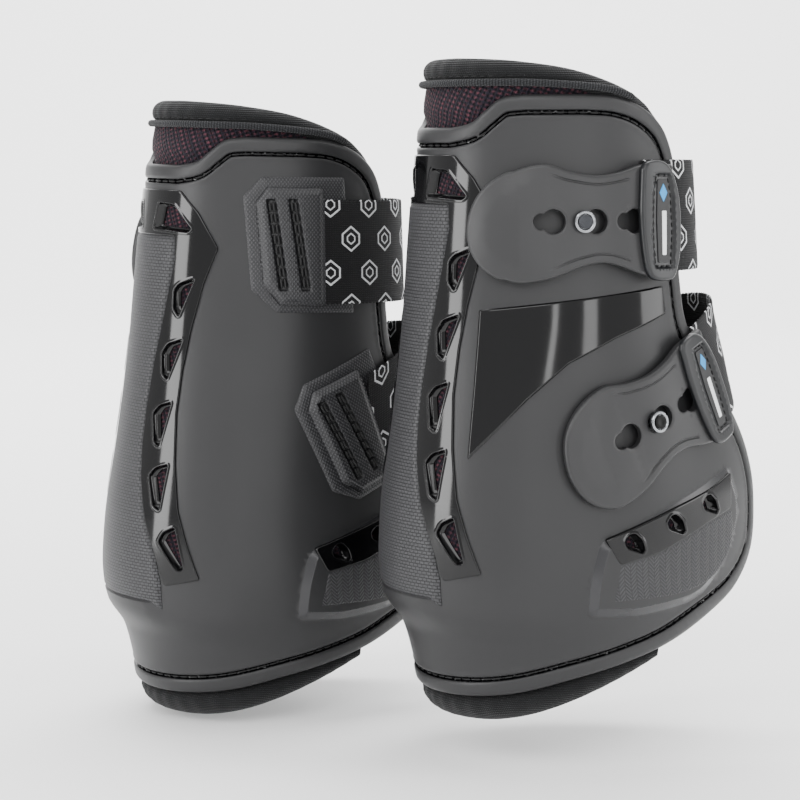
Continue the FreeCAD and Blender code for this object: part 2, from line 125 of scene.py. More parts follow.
def skin(arc, height, offset):
    """Point at an arc length from the spine (lateral is positive), raised off the skin."""
    side_centre, side_radius, spine_centre, spine_radius, join_angle = section(height)
    run = np.abs(arc)
    join_arc = spine_radius * join_angle
    on_spine = run < join_arc
    spine_angle = run / spine_radius
    side_angle = join_angle + (run - join_arc) / side_radius
    angle = np.where(on_spine, spine_angle, side_angle)
    radius = np.where(on_spine, spine_radius, side_radius) + offset
    x = np.where(on_spine, spine_centre, 0.0) - radius * np.cos(angle)
    y = np.where(on_spine, 0.0, side_centre) - radius * np.sin(angle)
    return np.stack([x, np.where(arc < 0, -y, y), height + 0 * x], axis=-1)


def arc_of(x, height):
    """Arc length of the lateral skin's point at x."""
    side_centre, side_radius, spine_centre, spine_radius, join_angle = section(height)
    join_x = spine_centre - spine_radius * np.cos(join_angle)
    spine_angle = np.arccos(np.clip((spine_centre - x) / spine_radius, -1, 1))
    side_angle = np.arccos(np.clip(-x / side_radius, -1, 1))
    return np.where(x < join_x, spine_radius * spine_angle,
                    spine_radius * join_angle + side_radius * (side_angle - join_angle))


# ---------------------------------------------------------------- outlines
def spline(points, step=1.0):
    """Smooth curve through points, sampled about every step."""
    points = np.array(points, float)
    padded = np.vstack([2 * points[0] - points[1], points, 2 * points[-1] - points[-2]])
    samples = []
    for a, b, c, d in zip(padded, padded[1:], padded[2:], padded[3:]):
        count = max(2, int(np.linalg.norm(c - b) / step))
        t = np.linspace(0, 1, count, endpoint=False)[:, None]
        samples.append(0.5 * (2 * b + (c - a) * t + (2 * a - 5 * b + 4 * c - d) * t**2
                              + (3 * b - a - 3 * c + d) * t**3))
    return np.vstack(samples + [points[-1:]])


def straight(points, step=1.0):
    """Straight runs through points, sampled about every step."""
    points = np.array(points, float)
    samples = []
    for a, b in zip(points, points[1:]):
        count = max(1, int(np.linalg.norm(b - a) / step))
        samples.append(a + (b - a) * np.linspace(0, 1, count, endpoint=False)[:, None])
    return np.vstack(samples + [points[-1:]])


def trace(runs, step=1.0):
    """Open path through runs of lines and curves that meet end to end."""
    pieces = [(spline if kind == "curve" else straight)(points, step) for kind, points in runs]
    return np.vstack([piece[:-1] for piece in pieces] + [pieces[-1][-1:]])


def rounded(points, radius, step=0.5):
    """Closed polygon with its corners rounded off."""
    points = np.array(points, float)
    samples = []
    for before, corner, after in zip(np.roll(points, 1, 0), points, np.roll(points, -1, 0)):
        a, b = before - corner, after - corner
        reach = min(radius, 0.45 * np.linalg.norm(a), 0.45 * np.linalg.norm(b))
        start = corner + a / np.linalg.norm(a) * reach
        end = corner + b / np.linalg.norm(b) * reach
        t = np.linspace(0, 1, 6)[:, None]
        samples.append((1 - t)**2 * start + 2 * t * (1 - t) * corner + t**2 * end)
    ring = np.vstack(samples)
    return straight(np.vstack([ring, ring[:1]]), step)[:-1]


def area(loop):
    """Area inside a loop, negative where it turns clockwise."""
    after = np.roll(loop, -1, 0)
    return 0.5 * np.sum(loop[:, 0] * after[:, 1] - after[:, 0] * loop[:, 1])


def turned(loop, anticlockwise):
    """The loop, run the asked way round."""
    return loop if (area(loop) > 0) == anticlockwise else loop[::-1]


class Loops:
    """Closed loops with the material on their left, and signed distances to them."""

    def __init__(self, outer, holes=()):
        self.loops = [turned(outer, True)] + [turned(hole, False) for hole in holes]
        self.points = np.vstack(self.loops)
        before, after, normals = [], [], []
        for loop in self.loops:
            ahead, behind = np.roll(loop, -1, 0), np.roll(loop, 1, 0)
            before.append(behind)
            after.append(ahead)
            edge = (ahead - loop) / np.maximum(np.linalg.norm(ahead - loop, axis=1), 1e-9)[:, None]
            back = np.roll(edge, 1, 0)
            mean = edge + back
            normals.append(np.stack([-mean[:, 1], mean[:, 0]], 1))
        self.before, self.after = np.vstack(before), np.vstack(after)
        self.normals = np.vstack(normals)
        self.normals /= np.maximum(np.linalg.norm(self.normals, axis=1), 1e-9)[:, None]
        self.tree = kdtree.KDTree(len(self.points))
        for i, point in enumerate(self.points):
            self.tree.insert((point[0], point[1], 0), i)
        self.tree.balance()

    def distance(self, at):
        """Positive in the material, negative outside it."""
        at = np.asarray(at, float)
        nearest = np.array([self.tree.find((u, v, 0))[1] for u, v in at])
        corner = self.points[nearest]
        best = np.full(len(at), 1e9)
        sign = np.ones(len(at))
        for other, ahead in ((self.after[nearest], 1), (self.before[nearest], -1)):
            edge = other - corner
            length = np.maximum(np.sum(edge**2, 1), 1e-12)
            along = np.clip(np.sum((at - corner) * edge, 1) / length, 0, 1)
            foot = corner + edge * along[:, None]
            gap = np.linalg.norm(at - foot, axis=1)
            normal = np.stack([-edge[:, 1], edge[:, 0]], 1) * ahead
            normal = np.where((along > 1e-6)[:, None], normal, self.normals[nearest])
            side = np.where(np.sum((at - foot) * normal, 1) >= 0, 1.0, -1.0)
            closer = gap < best - 1e-9
            best, sign = np.where(closer, gap, best), np.where(closer, side, sign)
        return best * sign

    def inset(self, gap, spacing=0.0):
        """Points at a distance inside the material, along every loop."""
        made = self.points + self.normals * gap
        made = made[np.abs(self.distance(made) - gap) < 0.06 * abs(gap) + 0.02]
        if spacing and len(made):
            kept = [made[0]]
            for point in made[1:]:
                if np.linalg.norm(point - kept[-1]) > spacing:
                    kept.append(point)
            made = np.array(kept)
        return made


def lattice(low, high, spacing):
    """Points in even triangles over a rectangle."""
    rows = np.arange(low[1], high[1], spacing * 0.866)  # the height of such a triangle
    columns = np.arange(low[0], high[0], spacing)
    u, v = np.meshgrid(columns, rows)
    u = u + (np.arange(len(rows)) % 2)[:, None] * spacing / 2
    return np.stack([u.ravel(), v.ravel()], 1)


class Patch:
    """Triangles that fill a set of loops, with extra rings of points where the form turns."""

    def __init__(self, loops, spacing, rings=(), extra=()):
        self.loops = loops
        points = loops.points
        edges = []
        start = 0
        for loop in loops.loops:
            count = len(loop)
            edges += [(start + i, start + (i + 1) % count) for i in range(count)]
            start += count
        added = [loops.inset(ring, 0.35) for ring in rings] + [np.asarray(item) for item in extra]
        grid = lattice(points.min(0), points.max(0), spacing)
        widest = max(rings) if rings else 0.0
        grid = grid[loops.distance(grid) > widest + 0.45 * spacing]
        cloud = np.vstack([points] + [item for item in added if len(item)] + [grid])
        result = delaunay_2d_cdt([Vector(point) for point in cloud], edges, [], 0, 1e-5)
        self.at = np.array([tuple(vertex) for vertex in result[0]])
        faces = np.array([face for face in result[2] if len(face) == 3])
        middle = self.at[faces].mean(1)
        faces = faces[loops.distance(middle) > 0]
        a, b, c = (self.at[faces[:, k]] for k in range(3))
        turn = (b - a)[:, 0] * (c - a)[:, 1] - (b - a)[:, 1] * (c - a)[:, 0]
        faces = faces[np.abs(turn) > 1e-7]
        turn = turn[np.abs(turn) > 1e-7]
        faces[turn < 0] = faces[turn < 0][:, ::-1]
        used, faces = np.unique(faces, return_inverse=True)
        self.at, self.faces = self.at[used], faces.reshape(-1, 3)
        self.depth = np.maximum(loops.distance(self.at), 0)
        sides = np.vstack([self.faces[:, [0, 1]], self.faces[:, [1, 2]], self.faces[:, [2, 0]]])
        key = np.sort(sides, 1)
        _, first, count = np.unique(key, axis=0, return_index=True, return_counts=True)
        self.rim = sides[first[count == 1]]


def fillet(depth, radius):
    """How far a rounded edge has dropped, at a depth in from that edge."""
    part = np.clip(depth / radius, 0, 1)
    return radius * (1 - np.sqrt(np.maximum(1 - (1 - part)**2, 0)))


def ramp(value, *stops):
    """Straight runs between (value, height) stops."""
    return np.interp(value, [stop[0] for stop in stops], [stop[1] for stop in stops])


# ---------------------------------------------------------------- pieces, made for both boots
LEFT_TURN, LEFT_LEAN, LEAN_VIEW = 7.5, 1.8, 27.0
mounts = {mount["name"]: mount for mount in frame["record"]["mounts"]}
lean_axis = Vector((math.sin(math.radians(LEAN_VIEW)), math.cos(math.radians(LEAN_VIEW)), 0))
left_place = (Matrix.Translation(mounts["leg_passage_left"]["pos_m"])
              @ Matrix.Rotation(math.radians(LEFT_LEAN), 4, lean_axis)
              @ Matrix.Rotation(math.radians(LEFT_TURN), 4, "Z"))
MIRROR = np.array([1.0, -1.0, 1.0])


class Form:
    """Vertices in mm in the right boot's frame, faces, pattern coordinates and slots per face."""

    def __init__(self):
        self.vertices, self.faces, self.pattern, self.slots, self.normals = [], [], [], [], {}
        self.count = 0

    def add(self, vertices, faces, pattern=None, slots=0, normals=None, shaped=0):
        """The first `shaped` faces take the given vertex normals, and the others find their own."""
        vertices = np.asarray(vertices, float)
        if pattern is None:
            pattern = vertices[:, :2]
        self.vertices.append(vertices)
        self.pattern.append(np.asarray(pattern, float))
        faces = [tuple(int(i) + self.count for i in face) for face in faces]
        for number in range(shaped):
            self.normals[len(self.faces) + number] = [normals[i - self.count] for i in faces[number]]
        self.faces += faces
        self.slots += [slots] * len(faces) if isinstance(slots, int) else list(slots)
        self.count += len(vertices)
        return self

    def build(self, name, materials, mirrored, sharp=28.0):
        """The form as an object; edges sharper than the angle in degrees stay crisp."""
        vertices = np.vstack(self.vertices) * MM
        faces = self.faces
        if mirrored:
            vertices = vertices * MIRROR
            faces = [face[::-1] for face in faces]
            turn = np.array(left_place)
            vertices = vertices @ turn[:3, :3].T + turn[:3, 3]
        mesh = bpy.data.meshes.new(name)
        mesh.from_pydata(vertices.tolist(), [], faces)
        for material in materials:
            mesh.materials.append(material)
        mesh.polygons.foreach_set("material_index", self.slots)
        mesh.polygons.foreach_set("use_smooth", [True] * len(faces))
        layer = mesh.uv_layers.new(name="pattern")
        corner = np.zeros(len(mesh.loops), int)
        mesh.loops.foreach_get("vertex_index", corner)
        layer.data.foreach_set("uv", np.vstack(self.pattern)[corner].ravel())
        mesh.update()
        mesh.set_sharp_from_angle(angle=math.radians(sharp))
        if self.normals:
            corners = np.zeros((len(mesh.loops), 3))
            for number, given in self.normals.items():
                start = mesh.polygons[number].loop_start
                corners[start:start + 3] = given[::-1] if mirrored else given
            if mirrored:
                corners = (corners * MIRROR) @ np.array(left_place)[:3, :3].T
            mesh.normals_split_custom_set(corners.tolist())
        piece = bpy.data.objects.new(name, mesh)
        bpy.context.scene.collection.objects.link(piece)
        return piece


def both_boots(name, form, materials, body="boot", nodes=(), sharp=28.0, declare=None):
    """Right piece and its mirror image on the left boot."""
    made = []
    for side in ("right", "left"):
        piece = form.build("%s_%s" % (side, name), materials, side == "left", sharp)
        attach(piece, "%s_%s" % (side, body))
        if nodes:
            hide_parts(*["%s_%s" % (side, node) for node in nodes])
        if declare:
            declare(piece)
        made.append(piece)
    return made


def on_skin(at):
    """Patch coordinates that are already arc and height."""
    return at[:, 0], at[:, 1]


def facing(at, top, place):
    """Normals of the surface that the top function makes, always outward."""
    step = 0.04

    def spot(u, v, lift=0.0):
        moved = at + (u, v)
        return skin(*place(moved), top(moved) + lift)
    normals = np.cross(spot(step, 0) - spot(-step, 0), spot(0, step) - spot(0, -step))
    normals /= np.maximum(np.linalg.norm(normals, axis=1), 1e-12)[:, None]
    outward = np.sum(normals * (spot(0, 0, 1.0) - spot(0, 0)), 1)
    return normals * np.where(outward < 0, -1.0, 1.0)[:, None]


def slab(form, patch, top, bottom, place=on_skin, slots=0, wall_slot=0):
    """Closed layer over a patch, between two heights off the skin; top may be a function."""
    arc, height = place(patch.at)
    count = len(patch.at)
    normals, shaped = None, 0
    if callable(top):
        normals, shaped = facing(patch.at, top, place), len(patch.faces)
        top = top(patch.at)
    vertices = np.vstack([skin(arc, height, top), skin(arc, height, bottom + 0 * top)])
    walls = [(a, a + count, b + count, b) for a, b in patch.rim]
    faces = [tuple(face) for face in patch.faces]
    faces += [tuple(face[::-1] + count) for face in patch.faces] + walls
    upper = [slots] * len(patch.faces) if isinstance(slots, int) else list(slots)
    marks = upper + [wall_slot] * (len(patch.faces) + len(walls))
    return form.add(vertices, faces, np.vstack([patch.at, patch.at]), marks, normals, shaped)


# ---------------------------------------------------------------- materials
def srgb(code):
    """Colour from its sRGB hex code, as linear RGBA."""
    parts = [int(code[i:i + 2], 16) / 255 for i in (1, 3, 5)]
    return tuple(c / 12.92 if c <= 0.04045 else ((c + 0.055) / 1.055)**2.4 for c in parts) + (1.0,)


MIX_FACTOR, MIX_LOW, MIX_HIGH, MIXED = 0, 6, 7, 2  # the colour mix node's sockets


def per_metre(size_mm):
    """Repeats in a metre of something that size, which is a texture's scale over object space."""
    return 1 / (size_mm * MM)


class Surface:
    """One material: a Principled shader and the nodes that feed it."""

    def __init__(self, name, colour, roughness, metallic=0.0, sheen=0.0, level=0.5):
        self.material = bpy.data.materials.new(name)
        self.material.use_nodes = True
        self.tree = self.material.node_tree
        self.shader = self.tree.nodes["Principled BSDF"]
        for socket, value in (("Base Color", srgb(colour)), ("Roughness", roughness), ("Metallic", metallic),
                              ("Sheen Weight", sheen), ("Specular IOR Level", level)):
            self.shader.inputs[socket].default_value = value

    def add(self, kind, inputs, output=0, **settings):
        """Add a node and give back one output; sockets among its inputs are linked, other values set."""
        made = self.tree.nodes.new("ShaderNode" + kind)
        for key, value in settings.items():
            setattr(made, key, value)
        for key, value in (inputs if isinstance(inputs, dict) else dict(enumerate(inputs))).items():
            if isinstance(value, bpy.types.NodeSocket):
                self.tree.links.new(value, made.inputs[key])
            else:
                made.inputs[key].default_value = value
        return made.outputs[output]

    def feed(self, **sockets):
        """Link outputs to the shader's inputs, as in Base_Color=output."""
        for name, output in sockets.items():
            self.tree.links.new(output, self.shader.inputs[name.replace("_", " ")])

    def laid_flat(self):
        """The piece's own flat coordinates in mm: both, along, across."""
        both = self.add("UVMap", {}, uv_map="pattern")
        return both, self.add("SeparateXYZ", [both], "X"), self.add("SeparateXYZ", [both], "Y")

    def ridges(self, u, v, slope_u, slope_v, pitch):
        """Round ridges square to a direction, 0 to 1, a pitch in mm apart."""
        turns = 2 * math.pi / pitch
        along_u = self.add("Math", [u, slope_u * turns], operation="MULTIPLY")
        along_v = self.add("Math", [v, slope_v * turns], operation="MULTIPLY")
        phase = self.add("Math", [along_u, along_v], operation="ADD")
        wave = self.add("Math", [phase], operation="SINE")
        return self.add("Math", [wave, 0.5, 0.5], operation="MULTIPLY_ADD")


def matte_tpu():
    """TPU moulded in a spark-eroded tool: matte, with an even grain and slow changes of sheen.

    Such a grain is about 0.1 mm, and is drawn at 0.5 mm so that it shows.
    """
    s = Surface("matte_tpu", "#232325", 0.5, level=0.32)
    place = s.add("TexCoord", {}, "Object")
    grain = s.add("TexNoise", {"Vector": place, "Scale": per_metre(0.5), "Detail": 3.0})
    waves = s.add("TexNoise", {"Vector": place, "Scale": per_metre(60), "Detail": 1.0})
    clouds = s.add("TexNoise", {"Vector": place, "Scale": per_metre(45), "Detail": 2.0})
    handling = s.add("TexNoise", {"Vector": place, "Scale": per_metre(18), "Detail": 4.0})
    fine = s.add("Bump", {"Height": grain, "Distance": 0.012 * MM})
    s.feed(Normal=s.add("Bump", {"Height": waves, "Distance": 0.05 * MM, "Normal": fine}),
           Base_Color=s.add("Mix", {MIX_FACTOR: clouds, MIX_LOW: srgb("#1f1f20"), MIX_HIGH: srgb("#242425")},
                            MIXED, data_type="RGBA"),
           Roughness=s.add("MapRange", {"Value": handling, "To Min": 0.4, "To Max": 0.48}))
    return s.material


def satin_tpu():
    """The shell's TPU where the mould was polished: smooth, with a soft highlight."""
    return Surface("satin_tpu", "#242426", 0.24, level=0.4).material


def brick_tpu():
    """TPU with a moulded weave of small bricks, matte and crisp, its colour painted lighter on the raised
    bricks and darker in the mortar.

    The bricks are about 1.6 by 1 mm, and are drawn 2.1 by 1.25 mm so that they show.
    """
    s = Surface("brick_weave_tpu", "#2a2a2c", 0.5, level=0.35)
    flat = s.laid_flat()[0]
    place = s.add("TexCoord", {}, "Object")
    bricks = s.add("TexBrick", {"Vector": flat, "Color1": (1, 1, 1, 1), "Color2": (0.8, 0.8, 0.8, 1),
                                "Mortar": (0, 0, 0, 1), "Scale": 1.0, "Mortar Size": 0.2, "Mortar Smooth": 0.5,
                                "Brick Width": 2.1, "Row Height": 1.25})
    grain = s.add("TexNoise", {"Vector": place, "Scale": per_metre(0.5), "Detail": 3.0})
    raised = s.add("Bump", {"Height": bricks, "Distance": 0.24 * MM})
    # painted highlight on the raised bricks and painted shade in the mortar gaps between them
    s.feed(Base_Color=s.add("Mix", {MIX_FACTOR: bricks, MIX_LOW: srgb("#0d0d0f"), MIX_HIGH: srgb("#353537")},
                            MIXED, data_type="RGBA"),
           Normal=s.add("Bump", {"Height": grain, "Distance": 0.01 * MM, "Normal": raised}))
    return s.material


def herringbone_tpu():
    """TPU with a moulded herringbone of slanted ribs, with a painted highlight on the ribs and painted shade
    between them and along the column seams.

    The ribs are about 1 mm apart, and are drawn 1.5 mm apart in columns 2.6 mm wide so that they show.
    """
    pitch, column, seam_width = 1.5, 2.6, 0.35
    s = Surface("herringbone_tpu", "#2a2a2c", 0.48, level=0.35)
    _, u, v = s.laid_flat()
    place = s.add("TexCoord", {}, "Object")
    fold = s.add("Math", [u, column], operation="PINGPONG")
    slanted = s.add("Math", [v, fold], operation="ADD")
    phase = s.add("Math", [slanted, 2 * math.pi / pitch], operation="MULTIPLY")
    wave = s.add("Math", [phase], operation="SINE")
    ribs = s.add("Math", [wave, 0.5, 0.5], operation="MULTIPLY_ADD")
    to_seam = s.add("Math", [u, column / 2], operation="PINGPONG")
    seams = s.add("Math", [to_seam, seam_width], operation="DIVIDE", use_clamp=True)
    ribs = s.add("Math", [ribs, seams], operation="MULTIPLY")
    grain = s.add("TexNoise", {"Vector": place, "Scale": per_metre(0.5), "Detail": 3.0})
    raised = s.add("Bump", {"Height": ribs, "Distance": 0.16 * MM})
    # painted highlight on the ribs and painted shade in the valleys and seams, in the base colour
    s.feed(Base_Color=s.add("Mix", {MIX_FACTOR: ribs, MIX_LOW: srgb("#19191b"), MIX_HIGH: srgb("#303032")},
                            MIXED, data_type="RGBA"),
           Normal=s.add("Bump", {"Height": grain, "Distance": 0.01 * MM, "Normal": raised}))
    return s.material


def knurled_tpu():
    """TPU with a moulded diamond knurl 1.15 mm apart, which breaks the light into small points, partly through
    its bump and partly through painted highlights on the ridges and painted shade between them.
    """
    s = Surface("knurled_tpu", "#2a2a2c", 0.45, level=0.35)
    _, u, v = s.laid_flat()
    cross = s.add("Math", [s.ridges(u, v, 0.78, 0.62, 1.15), s.ridges(u, v, 0.78, -0.62, 1.15)],
                  operation="MULTIPLY")
    # painted highlight on the knurl's ridges and painted shade in its valleys
    s.feed(Base_Color=s.add("Mix", {MIX_FACTOR: cross, MIX_LOW: srgb("#1a1a1c"), MIX_HIGH: srgb("#3a3a3c")},
                            MIXED, data_type="RGBA"),
           Normal=s.add("Bump", {"Height": cross, "Distance": 0.14 * MM}))
    return s.material


def gloss_tpu():
    """Polished black TPU: near mirror smooth, a little duller where it has been handled."""
    s = Surface("gloss_tpu", "#050506", 0.09, level=0.34)
    place = s.add("TexCoord", {}, "Object")
    handling = s.add("TexNoise", {"Vector": place, "Scale": per_metre(9), "Detail": 3.0})
    s.feed(Roughness=s.add("MapRange", {"Value": handling, "To Min": 0.07, "To Max": 0.12}))
    return s.material


def strap_rubber():
    """Moulded strap rubber: smooth satin with soft, wide highlights. Its grain is drawn at 0.4 mm."""
    s = Surface("strap_rubber", "#222223", 0.42, level=0.38)
    place = s.add("TexCoord", {}, "Object")
    grain = s.add("TexNoise", {"Vector": place, "Scale": per_metre(0.4), "Detail": 3.0})
    handling = s.add("TexNoise", {"Vector": place, "Scale": per_metre(14), "Detail": 3.0})
    s.feed(Normal=s.add("Bump", {"Height": grain, "Distance": 0.008 * MM}),
           Roughness=s.add("MapRange", {"Value": handling, "To Min": 0.38, "To Max": 0.47}))
    return s.material


def plate_rubber():
    """Moulded rubber, darker and a little glossier than the strap."""
    s = Surface("plate_rubber", "#151618", 0.32, level=0.4)
    place = s.add("TexCoord", {}, "Object")
    grain = s.add("TexNoise", {"Vector": place, "Scale": per_metre(0.4), "Detail": 3.0})
    s.feed(Normal=s.add("Bump", {"Height": grain, "Distance": 0.006 * MM}))
    return s.material


def insert_rubber():
    """Flat black rubber inlay, dull."""
    s = Surface("insert_rubber", "#101012", 0.55)
    place = s.add("TexCoord", {}, "Object")
    grain = s.add("TexNoise", {"Vector": place, "Scale": per_metre(0.3), "Detail": 3.0})
    s.feed(Normal=s.add("Bump", {"Height": grain, "Distance": 0.01 * MM}))
    return s.material


def blue_print():
    """Opaque satin blue print."""
    return Surface("blue_print", "#0c84c2", 0.4).material


def pale_print():
    """Opaque satin pale grey print."""
    return Surface("pale_print", "#d8dadb", 0.4).material


def neoprene():
    """Neoprene foam faced with jersey knit: charcoal, dull and slightly uneven.

    The knit's loops are about 0.5 mm, and are drawn 1.3 by 1 mm so that they show.
    """
    s = Surface("neoprene", "#1b1b1d", 0.88, sheen=0.06, level=0.2)
    _, u, v = s.laid_flat()
    knit = s.add("Math", [s.ridges(u, v, 1, 0, 1.3), s.ridges(u, v, 0, 1, 1.0)], operation="MULTIPLY")
    place = s.add("TexCoord", {}, "Object")
    dents = s.add("TexNoise", {"Vector": place, "Scale": per_metre(8), "Detail": 3.0})
    loops = s.add("Bump", {"Height": knit, "Distance": 0.1 * MM})
    # painted shade: the knit's colour is darker in the dips between the loops and lighter on them
    s.feed(Base_Color=s.add("Mix", {MIX_FACTOR: knit, MIX_LOW: srgb("#0f0f11"), MIX_HIGH: srgb("#1d1d20")},
                            MIXED, data_type="RGBA"),
           Normal=s.add("Bump", {"Height": dents, "Distance": 0.3 * MM, "Normal": loops}))
    return s.material


def spacer_mesh():
    """Polyester spacer mesh: matte plum yarn with dull red strokes, and round slanted pores painted near black
    as painted shade.

    The pores are 1.7 by 1.9 mm apart, and the strokes 2.7 by 1.7 mm.
    """
    pores_per_mm, slant = (0.6, 0.52, 1), 0.5
    s = Surface("spacer_mesh", "#15131c", 0.8, sheen=0.03, level=0.15)
    flat, u, v = s.laid_flat()
    slanted = s.add("Mapping", {"Vector": flat, "Rotation": (0, 0, slant), "Scale": pores_per_mm})
    cells = s.add("TexVoronoi", {"Vector": slanted, "Scale": 1.0, "Randomness": 0.0}, voronoi_dimensions="2D")
    pores = s.add("Math", [1.15, s.add("Math", [cells, 2.3], operation="MULTIPLY")],
                  operation="SUBTRACT", use_clamp=True)
    stroke = s.add("Math", [s.ridges(u, v, 0.9, -0.44, 2.7), s.ridges(u, v, 0.2, 0.98, 1.7)],
                   operation="MULTIPLY")
    place = s.add("TexCoord", {}, "Object")
    worn = s.add("TexNoise", {"Vector": place, "Scale": per_metre(6), "Detail": 1.0})
    worn = s.add("Math", [worn, 1.6, -0.1], operation="MULTIPLY_ADD", use_clamp=True)
    stroke = s.add("Math", [stroke, worn], operation="MULTIPLY")
    yarn = s.add("Mix", {MIX_FACTOR: stroke, MIX_LOW: srgb("#14121b"), MIX_HIGH: srgb("#573038")},
                 MIXED, data_type="RGBA")
    cords = s.add("Bump", {"Height": s.add("Math", [1.0, pores], operation="SUBTRACT"), "Distance": 0.5 * MM})
    # painted shade: the pores are painted near black where the holes would lie in shade
    s.feed(Base_Color=s.add("Mix", {MIX_FACTOR: pores, MIX_LOW: yarn, MIX_HIGH: srgb("#050508")},
                            MIXED, data_type="RGBA"),
           Normal=s.add("Bump", {"Height": s.ridges(u, v, 0.9, -0.44, 0.9), "Distance": 0.08 * MM,
                                 "Normal": cords}))
    return s.material


def ribbed_knit(name, light, dark, pitch):
    """Ribbed elastic knit: dull, with soft ribs along its length and yarns 0.9 mm apart over them.

    Such a knit's yarns are about 0.4 mm, and are drawn twice as coarse so that they show.
    """
    s = Surface(name, light, 0.9, sheen=0.08, level=0.15)
    _, u, v = s.laid_flat()
    ribs = s.ridges(u, v, 0, 1, pitch)
    yarn = s.ridges(u, v, 1, 0.35, 0.9)
    faint_yarn = s.add("Math", [yarn, 0.5, 0.5], operation="MULTIPLY_ADD")
    # painted shade: the colour is darker in the valleys between the ribs and yarns
    painted_shade = s.add("Math", [ribs, faint_yarn], operation="MULTIPLY")
    place = s.add("TexCoord", {}, "Object")
    dents = s.add("TexNoise", {"Vector": place, "Scale": per_metre(6), "Detail": 3.0})
    raised = s.add("Bump", {"Height": ribs, "Distance": 0.2 * MM})
    raised = s.add("Bump", {"Height": yarn, "Distance": 0.08 * MM, "Normal": raised})
    s.feed(Base_Color=s.add("Mix", {MIX_FACTOR: painted_shade, MIX_LOW: srgb(dark), MIX_HIGH: srgb(light)},
                            MIXED, data_type="RGBA"),
           Normal=s.add("Bump", {"Height": dents, "Distance": 0.2 * MM, "Normal": raised}))
    return s.material


def woven_elastic():
    """Woven elastic webbing: dull near-black, printed with staggered pale hexagon outlines.

    The webbing's cords are about 0.5 mm, and are drawn 0.85 by 1.1 mm so that they show.
    """
    repeat, row, outline, core = 20.0, 13.5, 4.3, 1.9  # the print's spacing and its hexagons' sizes, in mm
    s = Surface("woven_elastic", "#101012", 0.8, sheen=0.03, level=0.2)
    _, u, v = s.laid_flat()
    rows = s.add("Math", [s.add("Math", [v, row], operation="DIVIDE")], operation="FLOOR")
    shift = s.add("Math", [s.add("Math", [rows, 2.0], operation="FLOORED_MODULO"), repeat / 2],
                  operation="MULTIPLY")
    along = s.add("Math", [s.add("Math", [u, shift], operation="ADD"), repeat], operation="FLOORED_MODULO")
    along = s.add("Math", [s.add("Math", [along, repeat / 2], operation="SUBTRACT")], operation="ABSOLUTE")
    across = s.add("Math", [v, row], operation="FLOORED_MODULO")
    across = s.add("Math", [s.add("Math", [across, row / 2], operation="SUBTRACT")], operation="ABSOLUTE")
    slant = s.add("Math", [s.add("Math", [along, 0.62], operation="MULTIPLY"),
                           s.add("Math", [across, 0.9], operation="MULTIPLY")], operation="ADD")
    ring = s.add("Math", [along, slant], operation="MAXIMUM")
    lines = []
    for size, half_line in ((outline, 0.42), (core, 0.32)):
        away = s.add("Math", [s.add("Math", [ring, size], operation="SUBTRACT")], operation="ABSOLUTE")
        lines.append(s.add("Math", [away, half_line], operation="LESS_THAN"))
    printed = s.add("Math", lines, operation="MAXIMUM")
    picks = s.add("Math", [s.ridges(u, v, 1, 0, 1.1), 0.6, 0.4], operation="MULTIPLY_ADD")
    weave = s.add("Math", [s.ridges(u, v, 0, 1, 0.85), picks], operation="MULTIPLY")
    # painted shade: the webbing's colour is darker between the cords and lighter on them
    cloth_with_painted_shade = s.add("Mix", {MIX_FACTOR: weave, MIX_LOW: srgb("#060607"), MIX_HIGH: srgb("#18181a")},
                  MIXED, data_type="RGBA")
    s.feed(Base_Color=s.add("Mix", {MIX_FACTOR: printed, MIX_LOW: cloth_with_painted_shade, MIX_HIGH: srgb("#b9babc")},
                            MIXED, data_type="RGBA"),
           Normal=s.add("Bump", {"Height": weave, "Distance": 0.14 * MM}))
    return s.material


def polished_chrome():
    """Chromed brass, polished, with faint handling marks."""
    s = Surface("polished_chrome", "#8e9093", 0.14, metallic=1.0)
    place = s.add("TexCoord", {}, "Object")
    marks = s.add("TexNoise", {"Vector": place, "Scale": per_metre(2.5), "Detail": 4.0})
    s.feed(Roughness=s.add("MapRange", {"Value": marks, "To Min": 0.1, "To Max": 0.22}))
    return s.material


def stippled_steel():
    """Dull nickel on steel, its face stippled 0.8 mm apart."""
    s = Surface("stippled_steel", "#3c3d40", 0.42, metallic=1.0)
    dimples = s.add("TexVoronoi", {"Vector": s.add("TexCoord", {}, "Object"), "Scale": per_metre(0.8)})
    s.feed(Normal=s.add("Bump", {"Height": dimples, "Distance": 0.2 * MM}))
    return s.material


def black_enamel():
    """Black enamel, softly glossy."""
    return Surface("black_enamel", "#050505", 0.3, level=0.15).material


def waxed_thread():
    """Thick bonded polyester thread: black, waxed and slightly rough."""
    s = Surface("bonded_thread", "#0c0c0d", 0.55, level=0.3)
    place = s.add("TexCoord", {}, "Object")
    twist = s.add("TexNoise", {"Vector": place, "Scale": per_metre(0.5), "Detail": 3.0})
    s.feed(Normal=s.add("Bump", {"Height": twist, "Distance": 0.08 * MM}))
    return s.material


MATTE, SATIN, BRICK = matte_tpu(), satin_tpu(), brick_tpu()
HERRINGBONE, KNURL = herringbone_tpu(), knurled_tpu()
GLOSS, RUBBER, PLATE, INSERT = gloss_tpu(), strap_rubber(), plate_rubber(), insert_rubber()
NEOPRENE, MESH = neoprene(), spacer_mesh()
ROLL = ribbed_knit("ribbed_knit", "#1b1c1d", "#0f0f10", 0.8)
CORD = ribbed_knit("ribbed_cord", "#2c2d2f", "#121214", 1.1)
ELASTIC, THREAD = woven_elastic(), waxed_thread()
CHROME, STIPPLED, ENAMEL = polished_chrome(), stippled_steel(), black_enamel()
BLUE, PALE = blue_print(), pale_print()


